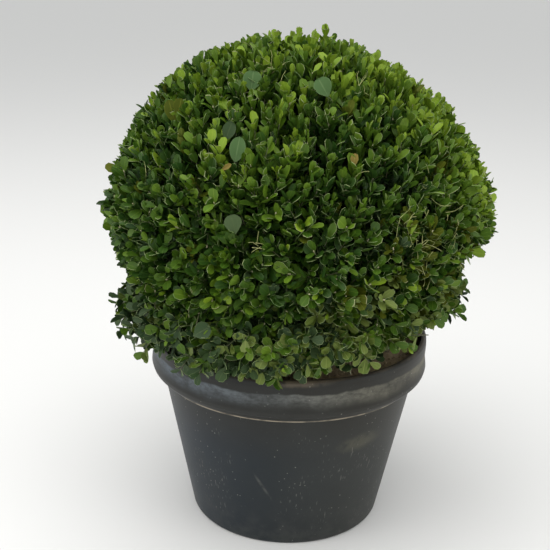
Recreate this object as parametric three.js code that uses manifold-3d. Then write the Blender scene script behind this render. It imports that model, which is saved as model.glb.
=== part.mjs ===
// A clipped box ball growing in a round plastic container pot.
//
// Millimetres, +Z up, the front is -Y. The origin is the centre of the pot's flat underside.
// The pot is filled with potting mix. A short trunk stands on the mix and forks inside the plant:
// five main boughs rise into the clipped ball, and six low boughs run out level under it to the
// unclipped fringe that hangs over the pot's collar.

import * as THREE from "three";
import { mergeVertices } from "three/addons/utils/BufferGeometryUtils.js";
import Module from "manifold-3d";

const wasm = await Module();
wasm.setup();

// Driving dimensions of the pot.
const potHeight = 236;
const footRadius = 119;
const bodyTopRadius = 155.5;
const collarFoot = 182;
const collarRadius = 170.5;
const wall = 3.2;
const drainHoles = 6;
const drainRadius = 7;
const drainRing = 92;
const roundSides = 36;

// Driving dimensions of the potting mix.
const mixTop = 222;
const mixPad = 34;

// Driving dimensions of the limbs.
const trunkFootRadius = 24;
const trunkRadius = 15;
const trunkTop = 276;
const trunkLean = 3;
const trunkTaper = 3;
const flareShare = 0.45;
const mainBoughs = 5;
const mainBoughTurn = 18;
const mainBoughRise = 38;
const mainBoughReach = 92;
const mainBoughRadius = 6.5;
const lowBoughs = 6;
const lowBoughTurn = 30;
const lowBoughHeight = 245;
const lowBoughLift = 9;
const lowBoughReach = 108;
const lowBoughRadius = 5;
const boughTaper = 0.32;
const boughSides = 8;

// Driving dimensions of the clipped ball.
const ballRadius = 229;
const ballCentre = new THREE.Vector3(5.4, 0, 369);
const ballUnderside = 289.5;
const waistTop = 348;
const waistLow = 308;
const waistDepth = 17;
const coreRadius = 194;
const coreUnderside = 292;
const hollowHeight = 36;
const hollowRadius = 112;
const coreSides = 30;
const coreSteps = 10;
const ballShoots = 96;
const ballShootLength = 13;
const ballShootLift = 0.25;
const ballShootWander = 0.25;
const ballLeaf = 42;
const ballSeed = 46;

// Driving dimensions of the fringe.
const fringeTop = 288.4;
const fringeRadius = 230;
const fringeClearance = 1.5;
const fringeRise = 0.3;
const fringeOuter = 197;
const fringeInner = 122;
const fringeStem = 50;
const fringeShoots = 6;
const fringeShootLength = 20;
const fringeLowShoot = 256;
const fringeHighShoot = 273.4;
const fringeLeaf = 40;
const fringeSeed = 101;

// Every leaf's breadth and thickness are shares of its length. Its root is sunk into its twig, and a
// shoot's root into the dense inside. Each pair of leaves sits at a share of its shoot and leans out
// by an angle, and every second pair is a quarter turn round.
const leafBreadth = 0.52;
const leafThickness = 0.05;
const leafCup = 0.05;
const leafWidest = 0.45;
const leafSizes = [1, 0.9, 0.8, 0.7];
const leafSink = 1.2;
const shootSink = 10;
const leafPairs = [
  { share: 0.96, lean: 27, quarterTurn: 0 },
  { share: 0.6, lean: 61, quarterTurn: Math.PI / 2 },
];

// Every piece keeps this far from its neighbour.
const gap = 0.3;

const goldenAngle = Math.PI * (3 - Math.sqrt(5));
const up = new THREE.Vector3(0, 0, 1);
const degrees = THREE.MathUtils.degToRad;

/** A source of numbers from 0 to 1 that gives the same run for the same seed. */
function seeded(seed) {
  let state = seed >>> 0;
  return () => {
    state = (state + 0x6d2b79f5) >>> 0;
    let mixed = Math.imul(state ^ (state >>> 15), state | 1);
    mixed ^= mixed + Math.imul(mixed ^ (mixed >>> 7), mixed | 61);
    return ((mixed ^ (mixed >>> 14)) >>> 0) / 4294967296;
  };
}

/** A closed geometry as a solid that can be cut and joined. */
function solidOf(geometry) {
  const bare = geometry.clone();
  bare.deleteAttribute("normal");
  bare.deleteAttribute("uv");
  const merged = mergeVertices(bare, 1e-4);
  return new wasm.Manifold(
    new wasm.Mesh({
      numProp: 3,
      vertProperties: merged.attributes.position.array,
      triVerts: new Uint32Array(merged.index.array),
    }),
  );
}

/** A solid as a geometry again. */
function geometryOf(solid) {
  const mesh = solid.getMesh();
  const positions = new Float32Array(mesh.numVert * 3);
  for (let i = 0; i < mesh.numVert; i++) {
    const start = i * mesh.numProp;
    positions.set(mesh.vertProperties.subarray(start, start + 3), i * 3);
  }
  const geometry = new THREE.BufferGeometry();
  geometry.setAttribute("position", new THREE.BufferAttribute(positions, 3));
  geometry.setIndex(new THREE.BufferAttribute(mesh.triVerts, 1));
  geometry.computeVertexNormals();
  return geometry;
}

/** A solid turned about Z from a list of [radius, height] points that starts and ends on the axis. */
function turned(profile, sides = roundSides) {
  const points = profile.map(([radius, height]) => new THREE.Vector2(radius, height));
  return solidOf(new THREE.LatheGeometry(points, sides).rotateX(Math.PI / 2));
}

/** A limb along a curve, round in section, with flat ends. radiusAt gives its radius from 0 to 1. */
function limb(curve, radiusAt, sides, steps) {
  const rings = Array.from({ length: steps + 1 }, (_, i) => [radiusAt(i / steps), i]);
  const profile = [[0, 0], ...rings, [0, steps]];
  const points = profile.map(([radius, station]) => new THREE.Vector2(radius, station));
  const geometry = new THREE.LatheGeometry(points, sides);
  const frames = curve.computeFrenetFrames(steps, false);
  const place = geometry.attributes.position;
  const across = new THREE.Vector3();
  for (let i = 0; i < place.count; i++) {
    const station = Math.round(place.getY(i));
    const normal = frames.normals[station];
    across.crossVectors(normal, frames.tangents[station]);
    const point = curve.getPointAt(station / steps);
    point.addScaledVector(normal, place.getX(i));
    point.addScaledVector(across, place.getZ(i));
    place.setXYZ(i, point.x, point.y, point.z);
  }
  return solidOf(geometry);
}

/** A solid from its corners and the corners of its faces. */
function facetedSolid(corners, faces) {
  const geometry = new THREE.BufferGeometry().setFromPoints(corners);
  geometry.setIndex(faces);
  return solidOf(geometry);
}

/** A three-sided twig from one point to another, thinner at its tip. */
function twig(start, end, rootRadius, tipRadius) {
  const along = end.clone().sub(start).normalize();
  const turnTo = new THREE.Quaternion().setFromUnitVectors(up, along);
  const ring = (centre, radius) =>
    [0, 1, 2].map((i) => {
      const turn = (i / 3) * 2 * Math.PI;
      const spoke = new THREE.Vector3(radius * Math.cos(turn), radius * Math.sin(turn), 0);
      return spoke.applyQuaternion(turnTo).add(centre);
    });
  const sides = [0, 1, 2].flatMap((i) => {
    const next = (i + 1) % 3;
    return [i, next, i + 3, next, next + 3, i + 3];
  });
  const faces = [0, 2, 1, ...sides, 3, 4, 5];
  return facetedSolid([...ring(start, rootRadius), ...ring(end, tipRadius)], faces);
}

/** A leaf's corners in a frame of its own: X runs from root to tip, Y across, and Z out of the upper
 *  face. The outline comes first, from the root round to the root, and the midrib's two faces last. */
function leafPoints(length, width) {
  const widest = length * leafWidest;
  const thickness = length * leafThickness;
  const cup = length * leafCup;
  return [
    [0, 0, 0],
    [widest, width / 2, cup],
    [length, 0, 0],
    [widest, -width / 2, cup],
    [widest, 0, thickness / 2],
    [widest, 0, -thickness / 2],
  ].map(([x, y, z]) => new THREE.Vector3(x, y, z));
}

const leafFaces = [0, 1, 2, 3].flatMap((i) => {
  const next = (i + 1) % 4;
  return [next, i, 4, i, next, 5];
});

/** A leaf's corners carried to its place: its root, the way its tip lies and the way it faces. */
function placedLeaf(root, tip, face, length, width) {
  const along = tip.clone().normalize();
  const across = new THREE.Vector3().crossVectors(face, along).normalize();
  const out = new THREE.Vector3().crossVectors(along, across);
  const frame = new THREE.Matrix4().makeBasis(along, across, out).setPosition(root);
  return leafPoints(length, width).map((point) => point.applyMatrix4(frame));
}

/** Whether a leaf stays in a space: its corners and points along each line between them. */
function staysIn(corners, inside) {
  const shares = [0, 0.25, 0.5, 0.75, 1];
  return corners.every((from, i) =>
    corners.slice(i).every((to) => shares.every((share) => inside(from.clone().lerp(to, share)))),
  );
}

/** Two opposite leaves on a twig, each leaning out from it by spread, as solids. turn sets which way
 *  they face. A leaf that would leave the space is made smaller, and one that still would is skipped. */
function leafPair(origin, axis, turn, spread, length, inside) {
  const level = Math.abs(axis.z) > 0.9 ? new THREE.Vector3(0, 1, 0) : up;
  const side = new THREE.Vector3().crossVectors(axis, level).normalize().applyAxisAngle(axis, turn);
  return [1, -1].flatMap((sign) => {
    const outwards = side.clone().multiplyScalar(sign);
    const tip = axis.clone().multiplyScalar(Math.cos(spread)).addScaledVector(outwards, Math.sin(spread));
    const face = axis.clone().multiplyScalar(Math.sin(spread)).addScaledVector(outwards, -Math.cos(spread));
    const root = origin.clone().addScaledVector(tip, -leafSink);
    const fitted = leafSizes
      .map((size) => placedLeaf(root, tip, face, size * length, size * length * leafBreadth))
      .find((corners) => staysIn(corners, inside));
    return fitted ? [facetedSolid(fitted, leafFaces)] : [];
  });
}

/** How far out from the ball's own axis a round form of that radius reaches at a height, drawn in at
 *  the ball's waist. */
function reachAt(radius, height) {
  const rise = height - ballCentre.z;
  const round = Math.sqrt(Math.max(0, radius ** 2 - rise ** 2));
  return round - waistDepth * THREE.MathUtils.smoothstep(waistTop - height, 0, waistTop - waistLow);
}

/** Whether a point lies in the clipped ball's own space. */
function inBall(point) {
  const radius = Math.hypot(point.x - ballCentre.x, point.y - ballCentre.y);
  return point.z > ballUnderside && radius < reachAt(ballRadius, point.z);
}

/** How low the fringe may hang at a radius: clear of the pot's lip, and rising outside the collar. */
function fringeFloor(radius) {
  return potHeight + fringeClearance + fringeRise * Math.max(0, radius - collarRadius);
}

/** Whether a point lies in the space of the fringe's part round one azimuth. */
function inFringe(point, azimuth) {
  const radius = Math.hypot(point.x, point.y);
  const turn = Math.atan2(point.y, point.x) - azimuth;
  const off = Math.abs(Math.atan2(Math.sin(turn), Math.cos(turn)));
  const inSector = (Math.PI / lowBoughs - off) * radius > gap;
  const inRing = radius > lowBoughReach + 4 && radius < fringeRadius;
  return inSector && inRing && point.z > fringeFloor(radius) && point.z < fringeTop;
}

/** The container pot: a flat underside with drain holes, a tapering body, a bulged collar and a lip. */
function pot() {
  const outside = [
    [0, 0],
    [footRadius - 2.5, 0],
    [footRadius, 3],
    [bodyTopRadius, collarFoot - 1],
    [bodyTopRadius + 2, collarFoot],
    [bodyTopRadius + 9, collarFoot + 5],
    [collarRadius - 1.5, collarFoot + 10.5],
    [collarRadius, collarFoot + 16],
    [collarRadius - 1.8, collarFoot + 29],
    [collarRadius - 1, potHeight - 9],
    [collarRadius - 1.5, potHeight - 2.5],
    [collarRadius - 4, potHeight],
  ];
  const inside = [[collarRadius - 8, potHeight], ...mixWall().reverse(), [0, wall]];
  const shell = turned([...outside, ...inside]);
  const drain = new THREE.CylinderGeometry(drainRadius, drainRadius, 4 * wall, 8).rotateX(Math.PI / 2);
  const drains = Array.from({ length: drainHoles }, (_, i) => {
    const turn = (i / drainHoles) * 2 * Math.PI;
    return solidOf(drain.clone().translate(drainRing * Math.cos(turn), drainRing * Math.sin(turn), 0));
  });
  return shell.subtract(wasm.Manifold.union(drains));
}

/** The pot's inner wall as [radius, height] points, from its floor up to the collar. */
function mixWall() {
  return [
    [footRadius - wall, wall],
    [bodyTopRadius - wall, collarFoot + 1],
    [bodyTopRadius + 6, collarFoot + 8],
    [collarRadius - wall - 1.5, collarFoot + 17],
    [collarRadius - wall - 2, potHeight - 8],
  ];
}

/** The potting mix: it fills the pot to below the lip, flat under the trunk and uneven round it. */
function pottingMix() {
  const side = mixWall()
    .slice(0, -1)
    .map(([radius, height]) => [radius - 0.5, Math.max(height, wall + gap)]);
  const edge = side.at(-1)[0];
  const top = [
    [edge, mixTop - 3],
    [edge * 0.84, mixTop - 3],
    [edge * 0.5, mixTop - 1],
    [mixPad, mixTop],
    [0, mixTop],
  ];
  const outline = [[0, wall + gap], ...side, ...top];
  const points = outline.map(([radius, height]) => new THREE.Vector2(radius, height));
  const geometry = new THREE.LatheGeometry(points, roundSides).rotateX(Math.PI / 2);
  const place = geometry.attributes.position;
  for (let i = 0; i < place.count; i++) {
    const radius = Math.hypot(place.getX(i), place.getY(i));
    if (place.getZ(i) > mixTop - 4 && radius > mixPad + 1 && radius < edge - 1) {
      const turn = Math.atan2(place.getY(i), place.getX(i));
      const lump = 1.3 * Math.sin(3 * turn + radius * 0.05) + 0.9 * Math.sin(7 * turn - radius * 0.11);
      place.setZ(i, place.getZ(i) + lump);
    }
  }
  return solidOf(geometry);
}

/** The trunk, from its flat cut at the top of the mix to its fork. grow makes it that much thicker. */
function trunk(grow = 0) {
  const foot = mixTop + gap - grow;
  const height = trunkTop + grow - foot;
  const curve = new THREE.CatmullRomCurve3([
    new THREE.Vector3(0, 0, foot),
    new THREE.Vector3(0, 0, foot + height * 0.3),
    new THREE.Vector3(trunkLean * 0.5, 0, foot + height * 0.65),
    new THREE.Vector3(trunkLean, 0, trunkTop + grow),
  ]);
  const flare = trunkFootRadius - trunkRadius;
  const flareAt = (t) => flare * (1 - Math.min(1, t / flareShare)) ** 2;
  const radiusAt = (t) => trunkRadius - trunkTaper * t + flareAt(t) + grow;
  return limb(curve, radiusAt, 14, 7);
}

/** The route of a main bough: it leaves the fork and rises, a little steeper near its end. */
function mainBoughRoute(index) {
  const azimuth = degrees(mainBoughTurn) + (index / mainBoughs) * 2 * Math.PI;
  const outwards = new THREE.Vector3(Math.cos(azimuth), Math.sin(azimuth), 0);
  const start = new THREE.Vector3(trunkLean * 0.8, 0, trunkTop - 15);
  const rise = Math.tan(degrees(mainBoughRise));
  const at = (reach, lift) =>
    start.clone().addScaledVector(outwards, reach).addScaledVector(up, reach * rise + lift);
  const points = [at(mainBoughReach * 0.35, -1), at(mainBoughReach * 0.68, -1), at(mainBoughReach, 3)];
  return new THREE.CatmullRomCurve3([start, ...points]);
}

/** The route of a low bough: it leaves the trunk's side and runs out nearly level. */
function lowBoughRoute(index) {
  const azimuth = fringeAzimuth(index);
  const outwards = new THREE.Vector3(Math.cos(azimuth), Math.sin(azimuth), 0);
  const start = new THREE.Vector3(0, 0, lowBoughHeight);
  const at = (reach, lift) => start.clone().addScaledVector(outwards, reach).addScaledVector(up, lift);
  const points = [at(lowBoughReach / 3, 1), at(lowBoughReach * 0.68, lowBoughLift - 3)];
  return new THREE.CatmullRomCurve3([start, ...points, at(lowBoughReach, lowBoughLift)]);
}

/** The middle azimuth of a part of the fringe. */
function fringeAzimuth(index) {
  return degrees(lowBoughTurn) + (index / lowBoughs) * 2 * Math.PI;
}

/** A bough along its route, tapering from its root radius and grown by a clearance. */
function boughAlong(route, rootRadius, grow = 0) {
  return limb(route, (t) => rootRadius * (1 - boughTaper * t) + grow, boughSides, 4);
}

/** A main bough, cut to sit round the trunk. */
function mainBough(index) {
  return boughAlong(mainBoughRoute(index), mainBoughRadius).subtract(trunk(gap));
}

/** The socket that a main bough's tip takes up in the core. */
function mainBoughSocket(index) {
  const route = mainBoughRoute(index);
  const end = route.getPointAt(1);
  const past = end.clone().addScaledVector(route.getTangentAt(1), gap);
  const longer = new THREE.CatmullRomCurve3([...route.points.slice(0, -1), past]);
  return boughAlong(longer, mainBoughRadius, gap);
}

/** A low bough, cut to sit against the trunk. */
function lowBough(index) {
  return boughAlong(lowBoughRoute(index), lowBoughRadius).subtract(trunk(gap));
}

/** The dense inside of the clipped ball, hollowed from below where the trunk forks. */
function ballCore() {
  const lowest = Math.asin((coreUnderside - ballCentre.z) / coreRadius);
  const side = Array.from({ length: coreSteps }, (_, i) => {
    const rise = THREE.MathUtils.lerp(lowest, Math.PI / 2, i / coreSteps);
    const height = ballCentre.z + coreRadius * Math.sin(rise);
    return [reachAt(coreRadius, height), height];
  });
  const hollow = [
    [0, coreUnderside + hollowHeight],
    [hollowRadius * 0.46, coreUnderside + hollowHeight],
    [hollowRadius, coreUnderside],
  ];
  const round = turned([...hollow, ...side, [0, ballCentre.z + coreRadius]], coreSides);
  const sockets = Array.from({ length: mainBoughs }, (_, i) => mainBoughSocket(i));
  return round.translate([ballCentre.x, ballCentre.y, 0]).subtract(wasm.Manifold.union(sockets));
}

/** A shoot that stands out of a dense inside: a short twig with opposite pairs of leaves, each pair a
 *  quarter turn from the one below. */
function leafyShoot(root, axis, shootLength, leafLength, quarter, inside) {
  const tip = root.clone().addScaledVector(axis, shootLength);
  const leaves = leafPairs.flatMap(({ share, lean, quarterTurn }) => {
    const origin = root.clone().lerp(tip, share);
    return leafPair(origin, axis, quarter + quarterTurn, degrees(lean), leafLength, inside);
  });
  return inside(tip) ? [twig(root, tip, 2.6, 1.7), ...leaves] : [];
}

/** The clipped ball: short leafy shoots at golden-angle steps stand out of its dense inside. */
function clippedBall() {
  const random = seeded(ballSeed);
  const solids = [ballCore()];
  const wander = () => (random() - 0.5) * ballShootWander;
  for (let i = 0; i < ballShoots; i++) {
    const height = 1 - (2 * i + 1) / ballShoots;
    const turn = i * goldenAngle;
    const level = Math.sqrt(1 - height ** 2);
    const outwards = new THREE.Vector3(level * Math.cos(turn), level * Math.sin(turn), height);
    const axis = outwards.clone().addScaledVector(up, ballShootLift);
    axis.add(new THREE.Vector3(wander(), wander(), wander())).normalize();
    const rootHeight = ballCentre.z + (coreRadius - shootSink) * height;
    const rootReach = reachAt(coreRadius - shootSink, rootHeight);
    const root = new THREE.Vector3(Math.cos(turn) * rootReach, Math.sin(turn) * rootReach, rootHeight);
    root.x += ballCentre.x;
    const length = ballLeaf * (0.95 + 0.15 * random());
    const quarter = random() * Math.PI;
    if (root.z > coreUnderside + leafSink) {
      solids.push(...leafyShoot(root, axis, ballShootLength, length, quarter, inBall));
    }
  }
  return wasm.Manifold.union(solids);
}

/** The dense inside of one part of the fringe: a sector of a ring that lies over the pot's lip. */
function fringeCore(azimuth) {
  const underside = fringeFloor(0) + 3;
  const top = fringeTop - 1;
  const ring = turned([
    [fringeInner, underside + 8],
    [collarRadius, underside],
    [fringeOuter - 12, underside + 3],
    [fringeOuter, underside + 16],
    [fringeOuter - 2, underside + 32],
    [fringeOuter - 14, top],
    [fringeInner, top],
    [fringeInner, underside + 8],
  ]);
  const half = Math.PI / lowBoughs;
  const apex = gap / Math.sin(half);
  const length = 2 * fringeRadius;
  const wedge = new THREE.Shape([
    new THREE.Vector2(apex, 0),
    new THREE.Vector2(apex + length * Math.cos(half), -length * Math.sin(half)),
    new THREE.Vector2(apex + length * Math.cos(half), length * Math.sin(half)),
  ]);
  const prism = new THREE.ExtrudeGeometry(wedge, { depth: fringeTop, bevelEnabled: false });
  return ring.intersect(solidOf(prism.rotateZ(azimuth)));
}

/** One part of the fringe: a stem that goes on from its low bough into a dense inside, and leafy
 *  shoots that run out of it over the collar, low and high by turns. */
function fringePart(index) {
  const random = seeded(fringeSeed + index);
  const azimuth = fringeAzimuth(index);
  const inside = (point) => inFringe(point, azimuth);
  const route = lowBoughRoute(index);
  const tangent = route.getTangentAt(1);
  const start = route.getPointAt(1).addScaledVector(tangent, gap);
  const end = start.clone().addScaledVector(tangent, fringeStem);
  const solids = [twig(start, end, lowBoughRadius * 0.6, lowBoughRadius * 0.48), fringeCore(azimuth)];
  for (let i = 0; i < fringeShoots; i++) {
    const high = i % 2 === 1;
    const swing = ((i + 0.5) / fringeShoots - 0.5) * ((2 * Math.PI) / lowBoughs);
    const outwards = new THREE.Vector3(1, 0, 0).applyAxisAngle(up, azimuth + swing);
    const root = outwards.clone().multiplyScalar(fringeOuter - shootSink);
    root.z = high ? fringeHighShoot : fringeLowShoot;
    const axis = outwards.clone().applyAxisAngle(up, (random() - 0.5) * 0.6);
    axis.addScaledVector(up, (random() - 0.5) * 0.3 - (high ? 0.1 : 0)).normalize();
    const length = fringeLeaf * (0.92 + 0.16 * random());
    const quarter = random() * Math.PI;
    solids.push(...leafyShoot(root, axis, fringeShootLength, length, quarter, inside));
  }
  return wasm.Manifold.union(solids);
}

/** A material in the colour of the real surface. */
function finish(color, roughness) {
  return new THREE.MeshStandardMaterial({ color, roughness, metalness: 0 });
}

const potPlastic = finish(0x2b2e30, 0.55);
const darkMix = finish(0x2a2019, 0.95);
const bark = finish(0x7a6a50, 0.9);
const boxLeaves = finish(0x2f5220, 0.5);
const lowLeaves = finish(0x375526, 0.5);

const plant = new THREE.Group();

/** Adds one named piece to the plant. */
function add(name, solid, material) {
  const mesh = new THREE.Mesh(geometryOf(solid), material);
  mesh.name = name;
  plant.add(mesh);
}

add("container_pot", pot(), potPlastic);
add("potting_mix", pottingMix(), darkMix);
add("trunk", trunk(), bark);
for (let i = 0; i < mainBoughs; i++) {
  add(`main_bough_${i + 1}`, mainBough(i), bark);
}
for (let i = 0; i < lowBoughs; i++) {
  add(`low_bough_${i + 1}`, lowBough(i), bark);
}
add("clipped_ball", clippedBall(), boxLeaves);
for (let i = 0; i < lowBoughs; i++) {
  add(`fringe_${i + 1}`, fringePart(i), lowLeaves);
}

export default plant;
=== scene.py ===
"""The looks of a clipped box ball in a round plastic container pot.

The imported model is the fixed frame: its pot, potting mix, trunk and boughs keep their places and
sizes here, and finer meshes stand for them. The clipped ball and its fringe are grown again by the
rule of the source, from the same limbs out to the same reach, and carried on to finer twigs: main
and low boughs, branches, twigs, leafy shoots, and leaves in opposite pairs, each pair a quarter
turn from the one below. Sizes are in metres, +Z is up and the front is -Y. Colours are linear.
"""

import logging
import math
from dataclasses import dataclass, field, fields
from enum import Enum, IntEnum
from typing import Optional, Union

import bpy
import numpy as np
from mathutils import Matrix, Vector

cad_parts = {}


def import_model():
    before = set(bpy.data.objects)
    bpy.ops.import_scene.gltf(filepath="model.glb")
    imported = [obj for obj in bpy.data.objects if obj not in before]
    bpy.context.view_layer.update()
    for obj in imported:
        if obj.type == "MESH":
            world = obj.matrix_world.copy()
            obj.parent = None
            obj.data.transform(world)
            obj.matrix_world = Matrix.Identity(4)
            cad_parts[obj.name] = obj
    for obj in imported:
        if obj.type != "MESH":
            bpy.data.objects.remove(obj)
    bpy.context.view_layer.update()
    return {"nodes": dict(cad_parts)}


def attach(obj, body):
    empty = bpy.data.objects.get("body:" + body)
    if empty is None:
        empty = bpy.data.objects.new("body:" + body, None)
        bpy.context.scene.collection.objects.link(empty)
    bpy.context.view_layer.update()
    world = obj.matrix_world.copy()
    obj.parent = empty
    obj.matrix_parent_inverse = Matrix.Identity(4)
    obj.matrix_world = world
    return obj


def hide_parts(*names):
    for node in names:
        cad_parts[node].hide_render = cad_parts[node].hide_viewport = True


log = logging.getLogger("box_ball")

Rgb = tuple[float, float, float]
Point = tuple[float, float, float]
Span = tuple[float, float]
Array = np.ndarray
Chance = np.random.Generator
Group = bpy.types.NodeTree
Material = bpy.types.Material
Node = bpy.types.Node
Object = bpy.types.Object
Socket = bpy.types.NodeSocket
Source = Union[Socket, float, tuple]

FLOAT = "NodeSocketFloat"
COLOUR = "NodeSocketColor"
VECTOR = "NodeSocketVector"
MM = 0.001
FULL_TURN = 2 * math.pi
GOLDEN_ANGLE = math.pi * (3 - math.sqrt(5))
UP = np.array([0.0, 0.0, 1.0])
ROOT_BODY = "root"
MAIN_BOUGHS = 5
FRINGE_PARTS = 6
BALL_NODES = ("clipped_ball",)
FRINGE_NODES = tuple(f"fringe_{i + 1}" for i in range(FRINGE_PARTS))


def unit(vectors: Array) -> Array:
    """Vectors scaled to length 1."""
    return vectors / np.maximum(np.linalg.norm(vectors, axis=-1, keepdims=True), 1e-9)


def smoothstep(low: float, high: float, value: Array) -> Array:
    """A smooth ramp from 0 at low to 1 at high."""
    share = np.clip((value - low) / (high - low), 0, 1)
    return share * share * (3 - 2 * share)


def bell(away: Array, breadth: float) -> Array:
    """A bell curve: 1 where away is 0, and low past its breadth."""
    return np.exp(-((away / breadth) ** 2))


def near(ways: Array, toward: Array, breadth: float) -> Array:
    """How near some ways come to one way: 1 on it, and low past its breadth."""
    return np.exp(-(1 - ways @ toward) / breadth)


def wave(direction: Array, seed: int, count: int = 7) -> Array:
    """Slow, even noise over directions, from about -1 to 1.

    Args:
        direction: unit vectors, one a row.
        seed: picks the pattern.
        count: how many waves are added up.

    Returns:
        One value for each direction.
    """
    rng = np.random.default_rng(seed)
    total = np.zeros(len(direction))
    for _ in range(count):
        axis = unit(rng.normal(size=3))
        total += np.sin(direction @ axis * rng.uniform(3, 8) + rng.uniform(0, FULL_TURN))
    return total / math.sqrt(count)


def rgba(colour: Rgb) -> tuple:
    """A colour with full alpha."""
    return (*colour, 1.0)


@dataclass(frozen=True)
class Coat:
    """A thin coat over a surface: its colour, and how far it covers where it is strongest."""

    colour: Rgb
    share: float


class Nodes:
    """Short ways to add and link the nodes of a node tree."""

    def __init__(self, tree: Group) -> None:
        """Keeps the tree that the nodes go into."""
        self.tree = tree

    def feed(self, socket: Socket, source: Source) -> None:
        """Links an input to an output socket, or sets it to a plain value.

        Args:
            socket: the input.
            source: the output socket or the value.
        """
        if isinstance(source, Socket):
            self.tree.links.new(source, socket)
        else:
            socket.default_value = source

    def add(self, kind: str, sources: Optional[dict] = None, **settings: object) -> Node:
        """Adds a node.

        Args:
            kind: the node's type.
            sources: what goes into its inputs, by their names or numbers.
            **settings: its properties by name.

        Returns:
            The node.
        """
        node = self.tree.nodes.new(kind)
        for name, value in settings.items():
            setattr(node, name, value)
        for key, source in (sources or {}).items():
            self.feed(node.inputs[key], source)
        return node

    def use(self, group: Group, **values: Source) -> Node:
        """Places a group with its own values. An underscore in an input's name is a space."""
        sources = {name.replace("_", " "): value for name, value in values.items()}
        return self.add("ShaderNodeGroup", sources, node_tree=group)

    def math(self, operation: str, first: Source, second: Source = 0.0, clamp: bool = False) -> Socket:
        """The result of a Math node, held from 0 to 1 if it is clamped."""
        node = self.add("ShaderNodeMath", {0: first, 1: second}, operation=operation, use_clamp=clamp)
        return node.outputs[0]

    def times(self, first: Source, *others: Source) -> Socket:
        """The product of two or more values."""
        for other in others:
            first = self.math("MULTIPLY", first, other)
        return first

    def mix(self, share: Source, first: Source, second: Source, blend: str = "MIX") -> Socket:
        """Two colours mixed. The share is how far the second one takes over."""
        sources = {0: share, 6: first, 7: second}
        return self.add("ShaderNodeMix", sources, data_type="RGBA", blend_type=blend).outputs[2]

    def coated(self, under: Source, coat: Coat, mask: Source) -> Socket:
        """A colour with a coat over it, where the mask lets the coat show."""
        return self.mix(self.times(mask, coat.share), under, rgba(coat.colour))

    def noise(self, place: Source, scale: Source, detail: float = 3.0, roughness: float = 0.55) -> Socket:
        """A Noise Texture's value. Detail is how many finer layers it has, roughness how strong."""
        sources = {"Vector": place, "Scale": scale, "Detail": detail, "Roughness": roughness}
        return self.add("ShaderNodeTexNoise", sources).outputs[0]

    def range(
        self, value: Source, low: float, high: float, to_low: float = 0.0, to_high: float = 1.0
    ) -> Socket:
        """A value carried from one range to another, smoothly and held at the ends."""
        sources = dict(enumerate((value, low, high, to_low, to_high)))
        return self.add("ShaderNodeMapRange", sources, interpolation_type="SMOOTHSTEP").outputs[0]

    def place(self) -> Socket:
        """The place on the object."""
        return self.add("ShaderNodeTexCoord").outputs["Object"]

    def mapped(self, place: Socket, kind: str = "POINT", **values: tuple) -> Socket:
        """Places moved, turned or stretched by the inputs of a Mapping node."""
        return self.add("ShaderNodeMapping", {"Vector": place, **values}, vector_type=kind).outputs[0]

    def split(self, vector: Socket) -> tuple[Socket, ...]:
        """The three parts of a vector."""
        return tuple(self.add("ShaderNodeSeparateXYZ", {0: vector}).outputs)

    def relief(self, shader: Node, height: Source, strength: float, distance: float) -> None:
        """Gives a shader a fine relief. The distance is how high a height of 1 is."""
        sources = {"Strength": strength, "Distance": distance, "Height": height}
        self.feed(shader.inputs["Normal"], self.add("ShaderNodeBump", sources).outputs[0])


def new_material(name: str, **constants: float) -> tuple[Material, Nodes, Node]:
    """Makes an empty material.

    Args:
        name: the material's name.
        **constants: plain values of its shader by name. An underscore in a name is a space.

    Returns:
        The material, its nodes and its Principled BSDF.
    """
    material = bpy.data.materials.new(name)
    material.use_nodes = True
    shader = material.node_tree.nodes["Principled BSDF"]
    for socket, value in constants.items():
        shader.inputs[socket.replace("_", " ")].default_value = value
    return material, Nodes(material.node_tree), shader


def new_group(
    name: str, inputs: dict[str, str], outputs: dict[str, str]
) -> tuple[Nodes, bpy.types.NodeInputs, bpy.types.NodeInputs]:
    """Makes an empty shader node group.

    Args:
        name: the group's name.
        inputs: each input's name and socket type.
        outputs: each output's name and socket type.

    Returns:
        The group's nodes, the values that it is given and the sockets for its results.
    """
    tree = bpy.data.node_groups.new(name, "ShaderNodeTree")
    for direction, sockets in (("INPUT", inputs), ("OUTPUT", outputs)):
        for socket, kind in sockets.items():
            tree.interface.new_socket(name=socket, in_out=direction, socket_type=kind)
    nodes = Nodes(tree)
    return nodes, nodes.add("NodeGroupInput").outputs, nodes.add("NodeGroupOutput").inputs


def grime_group() -> Group:
    """Makes the group for cloudy dust with a grain in it.

    Returns:
        The group, which puts out a mask from 0 to 1.
    """
    sockets = {"Place": VECTOR, "Cloud Scale": FLOAT, "Grain Scale": FLOAT, "Amount": FLOAT}
    nodes, given, out = new_group("grime", sockets, {"Mask": FLOAT})
    cloud = nodes.noise(given["Place"], given["Cloud Scale"], detail=5.0, roughness=0.6)
    grain = nodes.noise(given["Place"], given["Grain Scale"], detail=2.0, roughness=0.7)
    lying = nodes.times(nodes.range(cloud, 0.38, 0.72), nodes.range(grain, 0.3, 0.75, 0.45, 1.0))
    nodes.feed(out["Mask"], nodes.math("MULTIPLY", lying, given["Amount"], clamp=True))
    return nodes.tree


BLADE_MAP = "blade"
TINT = "tint"
PALER_BEHIND = (0.001, 0.004, 0.004)
CUT_EDGE = Coat((0.42, 0.40, 0.22), 0.85)
CUT_MARKS = (1.02, 1.12)


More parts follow.
